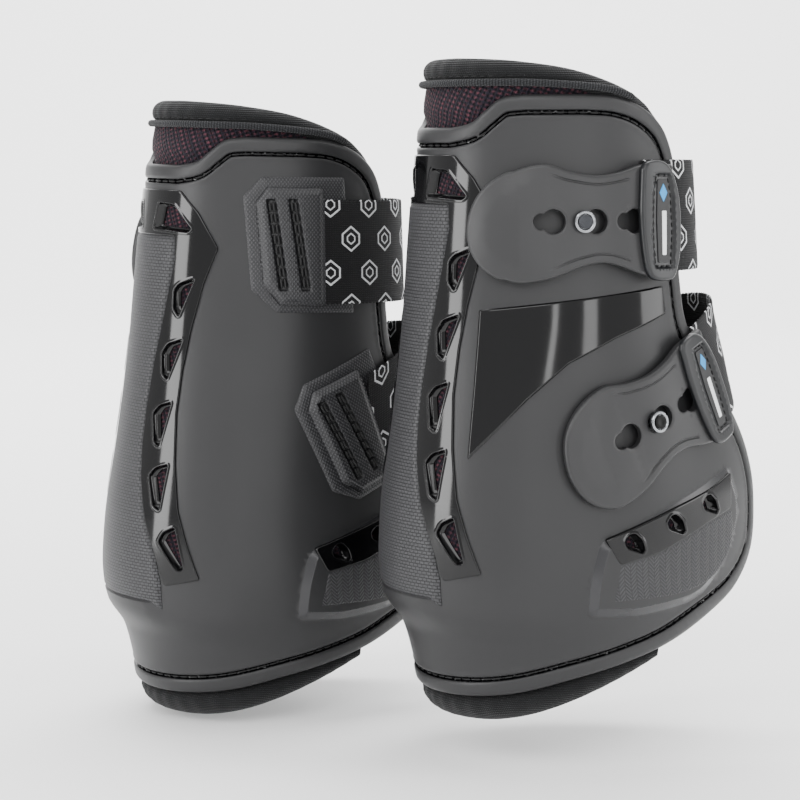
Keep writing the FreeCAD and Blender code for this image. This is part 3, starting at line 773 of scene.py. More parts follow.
# ---------------------------------------------------------------- outlines of the pieces
# seen from the side, as distance to the front and height, except where a comment says otherwise
SHELL_EDGE = [
    ("line", [(-80, 2), (-56, 2.2)]),
    ("curve", [(-56, 2.2), (-36, 5.8), (-15, 11), (8, 16), (30, 22), (50, 30.5), (66, 40), (75, 52),
               (78, 67), (77, 84), (71, 100), (55, 121), (43, 136), (38, 146), (35.6, 160)]),
    ("line", [(35.6, 160), (34, 196)]),
    ("curve", [(34, 196), (32.5, 206), (27, 216), (17, 223), (5, 226.6), (-8, 227.4)]),
    ("line", [(-8, 227.4), (-30, 227.2)]),
    ("curve", [(-30, 227.2), (-37, 226), (-42, 221.3), (-45.5, 217.3), (-50, 215.4)]),
    ("line", [(-50, 215.4), (-80, 215.4)]),
]
LINING_EDGE = [
    ("line", [(-80, 3), (-50, 3)]),
    ("curve", [(-50, 3), (-36, 5.5), (-15, 10.5), (8, 16.5), (30, 23), (50, 32), (64, 41), (72.5, 53),
               (75.5, 67), (74.5, 83), (68.5, 98.5), (52.5, 119.5), (40.5, 135), (35.5, 146), (33, 160)]),
    ("line", [(33, 160), (31.5, 194)]),
    ("curve", [(31.5, 194), (29.5, 204), (24, 212), (14, 219), (0, 225.5), (-20, 230), (-45, 231.5)]),
    ("line", [(-45, 231.5), (-80, 231.5)]),
]
TOP_ROLL_EDGE = [
    ("line", [(-80, 231.7), (-45, 231.7)]),
    ("curve", [(-45, 231.7), (-20, 230.2), (0, 225.7), (14, 219.2), (24, 212.2)]),
    ("line", [(24, 212.2), (30, 216)]),
    ("curve", [(30, 216), (21, 224.5), (10, 230.3), (-10, 236.2), (-30, 239.2), (-50, 240.8)]),
    ("line", [(-50, 240.8), (-80, 240.8)]),
]
BOTTOM_ROLL_EDGE = [
    ("line", [(-80, -8), (-50, -7)]),
    ("curve", [(-50, -7), (-36, -5), (-17, 0), (6, 8), (27, 16)]),
    ("line", [(27, 16), (27, 21.4)]),
    ("curve", [(27, 21.4), (8, 16.3), (-15, 10.3), (-36, 5.3), (-50, 2.8)]),
    ("line", [(-50, 2.8), (-80, 2.8)]),
]
PIPING_LINE = [("line", [(-80, 231.6), (-45, 231.6)]),
               ("curve", [(-45, 231.6), (-25, 231.4), (0, 229.7), (12.5, 226.6)])]
GLOSS_PANEL = [(-45, 149.2), (25, 157), (26.5, 146.6), (3, 138.5), (-16, 129.6), (-31, 117), (-51, 94.6)]
LOWER_VENT_TRIM = [(-4, 65), (27, 74.6), (45, 79.6), (58, 84.6), (57.5, 71), (43, 67), (20, 58.6),
                   (2, 55.2)]
SCOOP = [(-2.6, 3.6), (-4.7, 0.9), (-3.6, -1.8), (3.2, -4.3), (4.7, -3.0), (3.4, 0.9), (0.2, 3.7)]
SCOOP_CENTRES = [(8.0, 62.9), (26.9, 68.4), (44.8, 74.0)]
LOWER_VENTS = [[(x + u, z + v) for u, v in SCOOP] for x, z in SCOOP_CENTRES]
FETLOCK_PAD = [
    ("line", [(2.2, 54.8), (20, 58.2), (43, 66.6), (57.8, 70.4)]),
    ("curve", [(57.8, 70.4), (58.6, 62), (55, 53), (46, 45.6), (35, 42.4), (24, 41.4)]),
    ("line", [(24, 41.4), (0, 41.4), (2.2, 54.8)]),
]
PAD_BEVEL = [(-5.4, 63.7), (27, 75.6), (58.7, 86.6), (63.5, 76), (64.2, 67.5), (61, 58.7), (53.7, 48.5),
             (44.1, 39.9), (36.8, 37.2), (25.6, 35.9), (10.9, 34.8), (-9.2, 36.1)]
# the vents and the two trims round the spine are laid flat: arc length from the spine, and height
VENTS = [
    [(5, 190), (7, 200.5), (15.5, 200), (25, 190.5), (23.5, 189)],
    [(28.5, 171.5), (21.5, 169), (19.5, 166.5), (19.8, 159), (22.8, 155.5)],
    [(26, 147.5), (18.8, 145), (16.5, 141), (18, 132.5), (21, 130.5)],
    [(24.5, 122.5), (18.5, 120.5), (15.8, 117), (18.5, 105.5), (21.5, 104)],
    [(27, 98), (21, 96), (18.3, 92.5), (22.5, 80.5), (26, 79)],
    [(33.5, 73.5), (28.5, 71), (26.5, 67), (35.5, 56), (38.5, 56.5)],
]
# the lateral half, which meets its mirror image along the spine
VENT_TRIM = [
    (0, 205.4), (18, 205.4), (27, 197), (36.5, 183.5), (32, 169), (28.5, 150), (27.2, 135), (27.2, 118),
    (29.8, 98), (34, 80), (39, 67), (45, 53), (30, 49.5), (26, 60), (19, 75), (14, 92), (12.2, 104),
    (11.8, 120), (13, 138), (16, 160), (18.6, 178), (17.4, 187.4), (0, 187.4),
]
SPINE_STRIP = [
    (-17.2, 187.2), (17.2, 187.2), (18.4, 178), (15.8, 160), (12.8, 138), (11.6, 120), (12, 104),
    (13.8, 92), (18.8, 75), (25.8, 60), (28.4, 50), (27.5, 39.2), (22.5, 42), (-22.5, 42),
    (-27.5, 39.2), (-28.4, 50), (-25.8, 60), (-18.8, 75), (-13.8, 92), (-12, 104), (-11.6, 120),
    (-12.8, 138), (-15.8, 160), (-18.4, 178),
]
# the straps' pieces: distance along the strap from its stud, and across it
TAB_OUTLINE = [
    ("curve", [(40, 20.5), (25, 20.5), (15, 18), (5, 16.8), (-5, 18.2), (-15, 20.8), (-27, 17.4),
               (-36, 9), (-39.7, -4), (-36.5, -15.5), (-27, -22), (-14, -21), (0, -16.2), (10, -15.5),
               (25, -20), (40, -20.5)]),
    ("line", [(40, -20.5), (40, 20.5)]),
]
PLATE_OUTLINE = [
    ("curve", [(23, 19), (25.5, 21.6), (33, 21.8), (38, 18), (41.5, 9), (42.5, -3), (41.5, -13),
               (38.5, -20.5), (35, -22), (28, -21.6), (24.5, -18), (22.6, -8), (22, 4), (23, 19)]),
]
ANCHOR_BASE = [(-14, 30.5), (22, 31), (27, -23), (-8, -22.6), (-18.5, -14), (-21.5, 22.7)]
ANCHOR_PLATE = [(-12, 26.5), (11, 26.5), (11.6, -19.8), (-7, -19.6), (-13.6, -12), (-16.5, 20.5)]


def even(points, step):
    """The same open path, with evenly spaced points."""
    points = np.asarray(points, float)
    run = np.concatenate([[0], np.cumsum(np.linalg.norm(np.diff(points, axis=0), axis=1))])
    stops = np.linspace(0, run[-1], max(2, int(round(run[-1] / step)) + 1))
    return np.stack([np.interp(stops, run, points[:, k]) for k in range(2)], 1)


def side_path(runs, step=1.0):
    """Side view runs from the spine round to the spine, as a path over the lateral skin."""
    seen = trace(runs, 0.2)
    seen = seen[seen[:, 0] > spine_at(seen[:, 1]) + 0.01]
    path = np.stack([arc_of(seen[:, 0], seen[:, 1]), seen[:, 1]], 1)
    path[0, 0] = path[-1, 0] = 0.0
    return even(path, step)


def around(path):
    """Lateral path closed by its mirror image across the spine."""
    return np.vstack([path, path[::-1][1:-1] * (-1, 1)])


def flip(loop):
    """Mirror image across the spine."""
    return loop * (-1, 1)


def side_loop(outline):
    """Side view loop, on the lateral skin."""
    outline = np.asarray(outline, float)
    return np.stack([arc_of(outline[:, 0], outline[:, 1]), outline[:, 1]], 1)


def closed(runs, step=1.0):
    """Loop of evenly spaced points through runs that end where they began."""
    path = even(trace(runs, 0.25), step)
    return path[:-1]


# ---------------------------------------------------------------- shell
shell_loop = around(side_path(SHELL_EDGE))
shell_edge = Loops(shell_loop)
vent_loops = [rounded(vent, 1.3) for vent in VENTS]
low_vent_loops = [rounded(side_loop(vent), 1.2) for vent in LOWER_VENTS]
all_vents = [loop for vent in vent_loops + low_vent_loops for loop in (vent, flip(vent))]
pad_bevel = Loops(rounded(side_loop(PAD_BEVEL), 3.0, 1.0))

SHELL_THICKNESS = 3.0
BEVEL_WIDTH, BEVEL_RISE = 3.4, 1.5  # the raised frame round each fetlock field
GROOVE = (5.7, 7.4)  # the stitched groove lies between these depths in from the edge
RIM_WIDTH = 9.4
STEP_HEIGHTS = (28.5, 30.5, 41.5, 42.0)  # where the band below the spine strip turns
# depth in from the shell's edge, and height off the skin
RIM_PROFILE = [(0, -1.1), (0.2, -0.5), (0.6, 0.0), (1.3, 0.38), (2.2, 0.5), (4.4, 0.5), (5.2, 0.3),
               (5.7, -0.1), (5.9, -0.95), (7.2, -0.95), (7.4, -0.15), (7.8, 0.16), (8.5, 0.16), (9.4, 0.0)]


def shell_top(at):
    """Outer face: raised rim and its groove, fetlock frames, and the sloping band at the lower back."""
    arc, height = np.abs(at[:, 0]), at[:, 1]
    depth = np.maximum(shell_edge.distance(at), 0)
    top = ramp(depth, *RIM_PROFILE)
    inner = ramp(depth, (RIM_WIDTH, 0.0), (12.0, 1.0))
    frame_depth = pad_bevel.distance(np.stack([arc, height], 1))
    top = top + inner * ramp(frame_depth, (0, 0.0), (BEVEL_WIDTH, BEVEL_RISE))
    below_strip = np.where(height < 41.9, ramp(height, (28.5, 0.0), (30.5, 0.1), (41.5, 1.1)), 0.0)
    return top + inner * below_strip * ramp(arc, (19, 1.0), (27.5, 0.0))


shell_patch = Patch(Loops(shell_loop, all_vents), 2.6, extra=[
    shell_edge.inset(depth, 0.4) for depth, _ in RIM_PROFILE[1:]]
    + [loop for gap in (0.02, 0.3, BEVEL_WIDTH - 0.3, BEVEL_WIDTH, BEVEL_WIDTH + 0.3)
       for loop in (pad_bevel.inset(gap), flip(pad_bevel.inset(gap)))]
    + [straight([(-30, height), (30, height)]) for height in STEP_HEIGHTS])
depth = np.maximum(shell_edge.distance(shell_patch.at), 0)
middle = shell_patch.at[shell_patch.faces].mean(1)
middle_depth = shell_edge.distance(middle)
bevel_depth = pad_bevel.distance(np.abs(middle))
matte_slot, gloss_slot, satin_slot = 0, 1, 2
finish = np.where((bevel_depth > 0.05) & (bevel_depth < BEVEL_WIDTH), satin_slot, matte_slot)
finish = np.where((middle_depth > GROOVE[0]) & (middle_depth < GROOVE[1]), gloss_slot, finish)
shell = slab(Form(), shell_patch, shell_top, -SHELL_THICKNESS + ramp(depth, (0, 0.9), (1, 0)),
             slots=finish.tolist())
both_boots("shell_body", shell, [MATTE, GLOSS, SATIN], nodes=["shell"])


# ---------------------------------------------------------------- stitches
def capsule(form, start, end, radius, slots=0, sides=7):
    """Round-ended thread between two points, in mm."""
    start, end = Vector(start), Vector(end)
    along = end - start
    turn = along.to_track_quat("Z", "Y").to_matrix()
    # part of the length, and share of the radius there
    rings = [(0.0, 0.35), (0.06, 0.75), (0.2, 1.0), (0.5, 1.08), (0.8, 1.0), (0.94, 0.75), (1.0, 0.35)]
    vertices, faces = [], []
    for part, width in rings:
        for k in range(sides):
            angle = 2 * math.pi * k / sides
            spot = turn @ Vector((math.cos(angle) * radius * width, math.sin(angle) * radius * width, 0))
            vertices.append(tuple(start + along * part + spot))
    for ring in range(len(rings) - 1):
        for k in range(sides):
            a, b = ring * sides + k, ring * sides + (k + 1) % sides
            faces.append((a, b, b + sides, a + sides))
    faces.append(tuple(reversed(range(sides))))
    faces.append(tuple(range((len(rings) - 1) * sides, len(rings) * sides)))
    form.add(vertices, faces, np.array(vertices)[:, [0, 2]], slots)


def seam(form, path, offset, pitch, length, radius, place=on_skin, slots=0, sink=0.0):
    """Row of stitches over a path, each one's ends a little lower than its middle."""
    run = np.concatenate([[0], np.cumsum(np.linalg.norm(np.diff(path, axis=0), axis=1))])
    count = int(run[-1] / pitch)
    starts = (np.arange(count) + 0.5) * run[-1] / count - length / 2
    for first in starts:
        ends = np.array([first, first + length])
        at = np.stack([np.interp(ends, run, path[:, k]) for k in range(2)], 1)
        a, b = skin(*place(at), np.array([offset - sink, offset + sink]))
        capsule(form, a, b, radius, slots)


groove = shell_edge.inset(sum(GROOVE) / 2 + 0.05)
lateral = groove[groove[:, 0] > 0.5]
stitching = Form()
for path in (lateral, flip(lateral)[::-1]):
    seam(stitching, path, offset=-0.72, pitch=4.4, length=3.2, radius=0.38)
both_boots("rim_stitching", stitching, [THREAD])


# ---------------------------------------------------------------- gloss trims with sunken vents
TRIM_THICKNESS, LOW_TRIM_THICKNESS = 0.9, 1.85
VENT_LIP, VENT_SLOPE = 0.16, 1.35  # the lip's rise, and how far in its sloping wall runs


def vented(name, loop, vents, thickness, node):
    """Gloss layer whose vents slope inward to smaller openings over the spacer mesh."""
    outer = Loops(loop)
    recesses = [Loops(vent) for vent in vents]
    openings = [recess.inset(VENT_SLOPE, 0.3) for recess in recesses]
    rims = [recess.points + recess.normals * gap
            for recess in recesses for gap in (-1.25, -1.0, -0.45, -0.2, -0.02, 0.12)]
    rings = [outer.inset(gap, 0.4) for gap in (0.08, 0.2, 0.4, 0.58, 0.8)]
    patch = Patch(Loops(loop, openings), 2.2, extra=rings + rims)

    def top(at):
        made = thickness - 0.8 * fillet(np.maximum(outer.distance(at), 0), 0.55)
        for recess in recesses:
            inside = recess.distance(at)
            made = made + ramp(inside, (-1.0, 0.0), (-0.45, 0.22), (-0.02, VENT_LIP)) * (inside <= 0)
            wall = ramp(inside, (0.0, thickness + VENT_LIP), (0.12, thickness - 0.35), (1.2, -2.3),
                        (VENT_SLOPE, -2.45))
            made = np.where(inside > 0, wall, made)
        return made
    bottom = np.zeros(len(patch.at))
    for recess in recesses:
        inside = recess.distance(patch.at)
        under = ramp(inside, (0.05, -0.02), (1.2, -2.75), (VENT_SLOPE, -2.85))
        bottom = np.where(inside > 0.05, under, bottom)
    form = slab(Form(), patch, top, bottom + 0.02)
    both_boots(name, form, [GLOSS], nodes=[node])


trim_corners = np.array(VENT_TRIM[1:-1], float)
vented("vent_trim_gloss", rounded(np.vstack([trim_corners, flip(trim_corners[::-1])]), 1.2, 0.9),
       [loop for vent in vent_loops for loop in (vent, flip(vent))], TRIM_THICKNESS, "vent_trim")
low_trim = rounded(side_loop(LOWER_VENT_TRIM), 1.4, 0.8)
vented("lower_trim_gloss_lateral", low_trim, low_vent_loops, LOW_TRIM_THICKNESS, "lower_trim_lateral")
vented("lower_trim_gloss_medial", flip(low_trim), [flip(vent) for vent in low_vent_loops],
       LOW_TRIM_THICKNESS, "lower_trim_medial")


# ---------------------------------------------------------------- flat trims on the shell
def plain_trim(name, loop, profile, material, node, spacing=2.5):
    """Trim without holes: the profile gives its height off the skin at each depth in from its edge."""
    edge = Loops(loop)
    patch = Patch(edge, spacing, rings=[stop for stop, _ in profile[1:]] + [profile[-1][0] + 0.2])
    form = slab(Form(), patch, lambda at: ramp(np.maximum(edge.distance(at), 0), *profile), 0.02)
    both_boots(name, form, [material], nodes=[node])


plain_trim("spine_weave", rounded(SPINE_STRIP, 1.2), [(0, 0.25), (0.25, 0.5), (1.5, 1.1)], BRICK,
           "spine_strip")
plain_trim("gloss_wedge", rounded(side_loop(GLOSS_PANEL), 0.8, 0.8), [(0, 0.2), (0.2, 0.5), (0.7, 0.75)],
           GLOSS, "gloss_panel", 3.0)
pad = side_loop(closed(FETLOCK_PAD, 0.8))
for word, loop in (("lateral", pad), ("medial", flip(pad))):
    plain_trim("fetlock_weave_" + word, loop, [(0, 1.45), (0.3, 1.62), (0.8, 1.68)], HERRINGBONE,
               "fetlock_pad_" + word, 3.0)


# ---------------------------------------------------------------- linings and rolls
LINING_TOP, LINING_BOTTOM, LINING_ROUND = -4.1, -8.1, 1.8
MESH_TOP, MESH_THICKNESS = -3.1, 0.8
MESH_EDGE = LINING_EDGE[:3] + [
    ("curve", [(31.5, 194), (29.5, 204), (24, 212), (14, 220.5), (0, 227.5), (-20, 231), (-45, 232)]),
    ("line", [(-45, 232), (-80, 232)]),
]


def lining_patch(edge):
    """Patch inside an edge, with rings for a soft rounded border."""
    return Patch(Loops(around(side_path(edge, 1.5))), 4.0, rings=[0.5, 1.2, 2.5])


body_patch = lining_patch(LINING_EDGE)
ripple = 0.22 * np.sin(body_patch.at[:, 0] / 9.0) * np.sin(body_patch.at[:, 1] / 13.0)
worn_edge = fillet(body_patch.depth, LINING_ROUND)
lining = slab(Form(), body_patch, LINING_TOP - worn_edge,
              LINING_BOTTOM + worn_edge + ripple * np.minimum(body_patch.depth / 4, 1))
both_boots("neoprene_lining", lining, [NEOPRENE], nodes=["lining"],
           declare=lambda piece: piece)

# the mesh stands proud of the shell's top edge as a soft swell under the rib-knit roll
mesh_patch = lining_patch(MESH_EDGE)
swell = ramp(mesh_patch.at[:, 1], (216, 0.0), (222, 1.9), (228, 1.6), (232, 0.6))
swell = swell * ramp(shell_edge.distance(mesh_patch.at), (-4.0, 1.0), (0.0, 0.0))
mesh_top = MESH_TOP + swell
mesh = slab(Form(), mesh_patch, mesh_top, mesh_top - MESH_THICKNESS)


def flat_area(patch, offset):
    """Area in square metres of a patch laid over the skin."""
    spots = skin(patch.at[:, 0], patch.at[:, 1], offset) * MM
    a, b, c = (spots[patch.faces[:, k]] for k in range(3))
    return float(0.5 * np.linalg.norm(np.cross(b - a, c - a), axis=1).sum())


cut_area = flat_area(mesh_patch, mesh_top - MESH_THICKNESS / 2)
mesh_pieces = both_boots("spacer_mesh_liner", mesh, [MESH], nodes=["mesh_liner"])


def roll(name, edge, node, swell_mm, pleat):
    """Stuffed rib-knit roll, round in section, a little puckered where it is sewn."""
    loop = around(side_path(edge))
    patch = Patch(Loops(loop), 2.2, rings=[0.12, 0.35, 0.7, 1.2, 1.9, 2.8, 3.8])
    half_width_of_roll = 4.6
    part = np.clip(patch.depth / half_width_of_roll, 0, 1)
    round_ = np.sqrt(np.maximum(1 - (1 - part)**2, 0))
    wave = 1 + pleat * np.sin(patch.at[:, 0] * 2 * math.pi / 8.3 + np.sin(patch.at[:, 0] / 17) * 2)
    top = -5.1 + (4.2 + swell_mm) * round_ * wave
    bottom = -5.5 - 4.1 * round_ * (2 - wave)
    form = slab(Form(), patch, top, np.minimum(bottom, top - 0.15))
    both_boots(name, form, [ROLL], nodes=[node], sharp=70.0,
               declare=lambda piece: piece)


roll("top_rib_roll", TOP_ROLL_EDGE, "top_roll", 0.3, 0.035)
roll("bottom_rib_roll", BOTTOM_ROLL_EDGE, "bottom_roll", -0.2, 0.05)


def tube(form, path, offset, radius, sides=12):
    """Round cord over a path on the skin, with closed ends."""
    spots = skin(path[:, 0], path[:, 1], offset)
    ahead = np.gradient(spots, axis=0)
    vertices, pattern = [], []
    run = np.concatenate([[0], np.cumsum(np.linalg.norm(np.diff(spots, axis=0), axis=1))])
    for i, (spot, way) in enumerate(zip(spots, ahead)):
        turn = Vector(way).to_track_quat("Z", "Y").to_matrix()
        taper = 0.7 if i in (0, len(spots) - 1) else 1.0
        for k in range(sides):
            angle = 2 * math.pi * k / sides
            out = turn @ Vector((math.cos(angle), math.sin(angle), 0))
            vertices.append(tuple(Vector(spot) + out * radius * taper))
            pattern.append((angle * radius, run[i]))
    faces = []
    for ring in range(len(spots) - 1):
        for k in range(sides):
            a, b = ring * sides + k, ring * sides + (k + 1) % sides
            faces.append((a, b, b + sides, a + sides))
    last = (len(spots) - 1) * sides
    faces += [tuple(reversed(range(sides))), tuple(range(last, last + sides))]
    form.add(vertices, faces, pattern)


seen = trace(PIPING_LINE, 0.5)
seen = seen[seen[:, 0] > spine_at(seen[:, 1]) + 0.01]
half_piping = np.stack([arc_of(seen[:, 0], seen[:, 1]), seen[:, 1]], 1)
half_piping[0, 0] = 0.0
cord = Form()
tube(cord, even(np.vstack([flip(half_piping[::-1]), half_piping[1:]]), 1.5), offset=-0.4, radius=1.35)
both_boots("rib_piping", cord, [CORD], nodes=["top_piping"], sharp=60.0)

# a row of stitches holds the top roll, just above the piping
roll_seams = Form()
back = half_piping[half_piping[:, 0] < 62]
seam(roll_seams, np.vstack([flip(back[::-1]), back[1:]]) + (0, 2.3), offset=-1.3, pitch=3.6, length=2.4,
     radius=0.3)
both_boots("roll_stitching", roll_seams, [THREAD])


# ---------------------------------------------------------------- straps
class StrapFrame:
    """Wraps an axis through the leg: distance along the strap from its stud, and across it."""

    def __init__(self, name, stud, axis_point, tilt, front):
        self.name, self.front = name, front
        self.tilt = angle = math.radians(tilt)
        self.along = np.array([math.cos(angle), 0, math.sin(angle)])
        self.axis = np.array([-math.sin(angle), 0, math.cos(angle)])
        stud, axis_point = np.array(stud, float), np.array(axis_point, float)
        self.centre = axis_point + self.axis * np.dot(stud - axis_point, self.axis)
        arm = stud - self.centre
        self.radius = float(np.linalg.norm(arm))
        self.stud_angle = math.atan2(np.dot(arm, self.along), -arm[1])

    def side_view(self, at):
        """Distance to the front, and height, of places on the strap."""
        angle = self.stud_angle + at[:, 0] / self.radius
        spots = (self.centre + self.along * (np.sin(angle) * self.radius)[:, None]
                 + self.axis * at[:, 1][:, None])
        return spots[:, 0], spots[:, 2]

    def place(self, at, lift=0.0):
        """Arc and height on the lateral skin for a layer that floats `lift` above it."""
        x, height = self.side_view(np.asarray(at, float))
        side_centre, side_radius, _, _, join_angle = section(height)
        flat = arc_of(x, height)
        angle = np.arccos(np.clip(-x / (side_radius + lift), -1, 1))
        join_x = -side_radius * np.cos(join_angle)
        raised = arc_of(-side_radius * np.cos(angle), height)
        return np.where(x > join_x, raised, flat), height

    def lateral(self, lift):
        """Placing function for layers on the lateral side."""
        return lambda at: self.place(at, lift)

    def medial(self, lift):
        """Placing function for layers on the medial side."""
        def place(at):
            arc, height = self.place(at, lift)
            return -arc, height
        return place

    def frame_at(self, distance):
        """Skin point and outward direction on the lateral side."""
        angle = self.stud_angle + distance / self.radius
        out = self.along * math.sin(angle) + np.array([0, -math.cos(angle), 0])
        return self.centre + out * self.radius, out


upper_arc, upper_height = np.array([67.4]), np.array([181.4])
lower_x, lower_height = np.array([16.3]), np.array([107.2])
upper_stud = skin(upper_arc, upper_height, 0.0)[0]
lower_stud = skin(arc_of(lower_x, lower_height), lower_height, 0.0)[0]
straps = [StrapFrame("upper", upper_stud, (0, side_centre_at(upper_height[0]), upper_height[0]),
                     tilt=0.0, front=15.0),
          StrapFrame("lower", lower_stud, (-2.2, 55.6, 99.7), tilt=22.0, front=38.0)]
KEYHOLES = (-16.0, 0.0, 16.0)
STRAP_WIDTH = 41.0


def keyhole(distance):
    """Small round hole that opens into a larger one, as a closed outline."""
    small, large, shift = 3.0, 4.5, 4.5
    meet = (shift**2 + small**2 - large**2) / (2 * shift)
    rise = math.sqrt(small**2 - meet**2)
    first = math.atan2(rise, meet)
    second = math.atan2(rise, meet - shift)
    back = np.linspace(first, 2 * math.pi - first, 20)
    front = np.linspace(-second, second, 24)[1:-1]
    return np.vstack([np.stack([distance + small * np.cos(back), small * np.sin(back)], 1),
                      np.stack([distance + shift + large * np.cos(front), large * np.sin(front)], 1)])


def strap_tab(strap):
    """Moulded tab with three keyholes, a sunken line along its neck and a crowned end."""
    outline = closed(TAB_OUTLINE, 0.8)
    holes = [keyhole(distance) for distance in KEYHOLES]
    edge = Loops(outline)
    hole_edges = [Loops(turned(hole, True)) for hole in holes]
    rings = [edge.inset(gap, 0.4) for gap in (0.15, 0.45, 0.9, 1.5, 1.8, 2.7, 2.9, 3.1, 3.6, 3.8, 4.1)]
    rings += [hole.points - hole.normals * gap for hole in hole_edges for gap in (0.15, 0.5, 1.0, 1.3, 1.6)]
    patch = Patch(Loops(outline, holes), 2.0, extra=rings)

    def top(at):
        depth = np.maximum(edge.distance(at), 0)
        border = ramp(depth, (2.9, 0.0), (3.1, -0.5), (3.6, -0.5), (3.8, -0.25))
        neck = ramp(at[:, 0], (-14, 0.0), (-8, 1.0), (17.5, 1.0), (18.2, 0.0))
        dome = ramp(depth, (1.5, 0.0), (6, 0.75), (11, 1.1)) * ramp(at[:, 0], (-24, 1.0), (-12, 0.0))
        made = 5.0 - fillet(depth, 1.5) * 0.85 + border * neck + dome
        for hole in hole_edges:
            away = -hole.distance(at)
            made = made - 0.35 * fillet(np.maximum(away, 0), 1.2) * (away < 1.3)
        return made
    form = slab(Form(), patch, top, 2.05, strap.lateral(3.5))
    both_boots("tab_%s" % strap.name, form, [RUBBER], "tab_" + strap.name,
               ["strap_tab_" + strap.name])


def box_in_frame(form, strap, corners_pq, low, high, chamfer=0.25, slots=0, lift=6.5, radius=0.8):
    """Small raised shape in the strap's frame with softened edges."""
    edge = Loops(rounded(corners_pq, radius, 0.4))
    patch = Patch(edge, 1.4, rings=[chamfer * 0.4, chamfer])
    slab(form, patch, lambda at: high - fillet(np.maximum(edge.distance(at), 0), chamfer), low,
         strap.lateral(lift), slots, slots)


def tab_plate(strap):
    """Raised plate at the strap's end, its recess, the inlay, its print and the stitches."""
    outline = closed(PLATE_OUTLINE, 0.6)
    edge = Loops(outline)
    recess = Loops(rounded([(27.6, -17.6), (37.4, -17.6), (38.6, -4), (38.0, 10), (36.2, 17.2), (28.6, 17.4),
                            (27.2, 8), (26.8, -6)], 1.6, 0.5))
    rings = [edge.inset(gap, 0.35) for gap in (0.12, 0.4, 0.9, 1.5)]
    rings += [recess.inset(gap) for gap in (0.02, 0.35)]
    patch = Patch(edge, 1.6, extra=rings)

    def top(at):
        rim = 7.35 - fillet(np.maximum(edge.distance(at), 0), 1.3)
        return rim - ramp(recess.distance(at), (0.0, 0.0), (0.35, 0.95))
    form = slab(Form(), patch, top, 5.02, strap.lateral(6.0))
    both_boots("plate_%s" % strap.name, form, [PLATE], "tab_" + strap.name,
               ["tab_plate_" + strap.name])

    inlay = Form()
    box_in_frame(inlay, strap, [(29.9, -15.4), (35.6, -15.4), (36.4, 0), (35.2, 15.2), (30.2, 15.2), (29.4, 0)],
                 6.3, 6.85, 0.2, 0)
    box_in_frame(inlay, strap, [(32.9, 13.6), (30.9, 10.2), (32.9, 6.8), (34.9, 10.2)], 6.8, 6.93, 0.05, 1,
                 radius=0.2)
    box_in_frame(inlay, strap, [(31.9, -12.6), (33.9, -12.6), (34.3, 3.6), (32.0, 3.6)], 6.8, 6.93, 0.05, 2,
                 radius=0.4)
    both_boots("inlay_%s" % strap.name, inlay, [INSERT, BLUE, PALE], "tab_" + strap.name)

    threads = Form()
    seam(threads, even(np.vstack([recess.inset(1.0), recess.inset(1.0)[:1]]), 0.5), 6.55, 2.7, 1.8, 0.26,
         strap.lateral(6.5))
    both_boots("plate_stitching_%s" % strap.name, threads, [THREAD], "tab_" + strap.name)


def lathe(form, base, out, profile, sides=40):
    """Turned form about a line: profile is (radius, distance out) from the first end to the last."""
    turn = Vector(out).to_track_quat("Z", "Y").to_matrix()
    vertices, faces = [], []
    for radius, reach in profile:
        for k in range(sides):
            angle = 2 * math.pi * k / sides
            spot = Vector((radius * math.cos(angle), radius * math.sin(angle), reach))
            vertices.append(tuple(Vector(base) + turn @ spot))
    for ring in range(len(profile) - 1):
        for k in range(sides):
            a, b = ring * sides + k, ring * sides + (k + 1) % sides
            faces.append((a, b, b + sides, a + sides))
    faces.append(tuple(reversed(range(sides))))
    faces.append(tuple(range((len(profile) - 1) * sides, len(profile) * sides)))
    form.add(vertices, faces, np.array(vertices)[:, [0, 2]])


def stud(strap):
    """Rivet through the keyhole: post, chromed ring head and its centre."""
    base, out = strap.frame_at(0.0)
    metal = Form()
    lathe(metal, base, out, [(2.4, -3.0), (2.4, 5.2), (3.4, 5.3), (3.9, 5.45), (4.1, 5.9), (4.1, 6.5),
                             (3.95, 6.95), (3.6, 7.2), (3.1, 7.2), (2.85, 7.05), (2.7, 6.7)])
    both_boots("stud_ring_%s" % strap.name, metal, [CHROME], nodes=["stud_" + strap.name])
    centre = Form()
    if strap.name == "upper":
        face = [(2.6, 6.72), (2.62, 7.3), (2.45, 7.55), (1.9, 7.68), (1.0, 7.74), (0.3, 7.75)]
    else:
        face = [(2.6, 6.72), (2.62, 7.35), (2.4, 7.65), (1.7, 7.72), (1.0, 7.62), (0.3, 7.58)]
    lathe(centre, base, out, face)
    both_boots("stud_centre_%s" % strap.name, centre, [STIPPLED if strap.name == "upper" else ENAMEL],
               nodes=["stud_cap_" + strap.name])


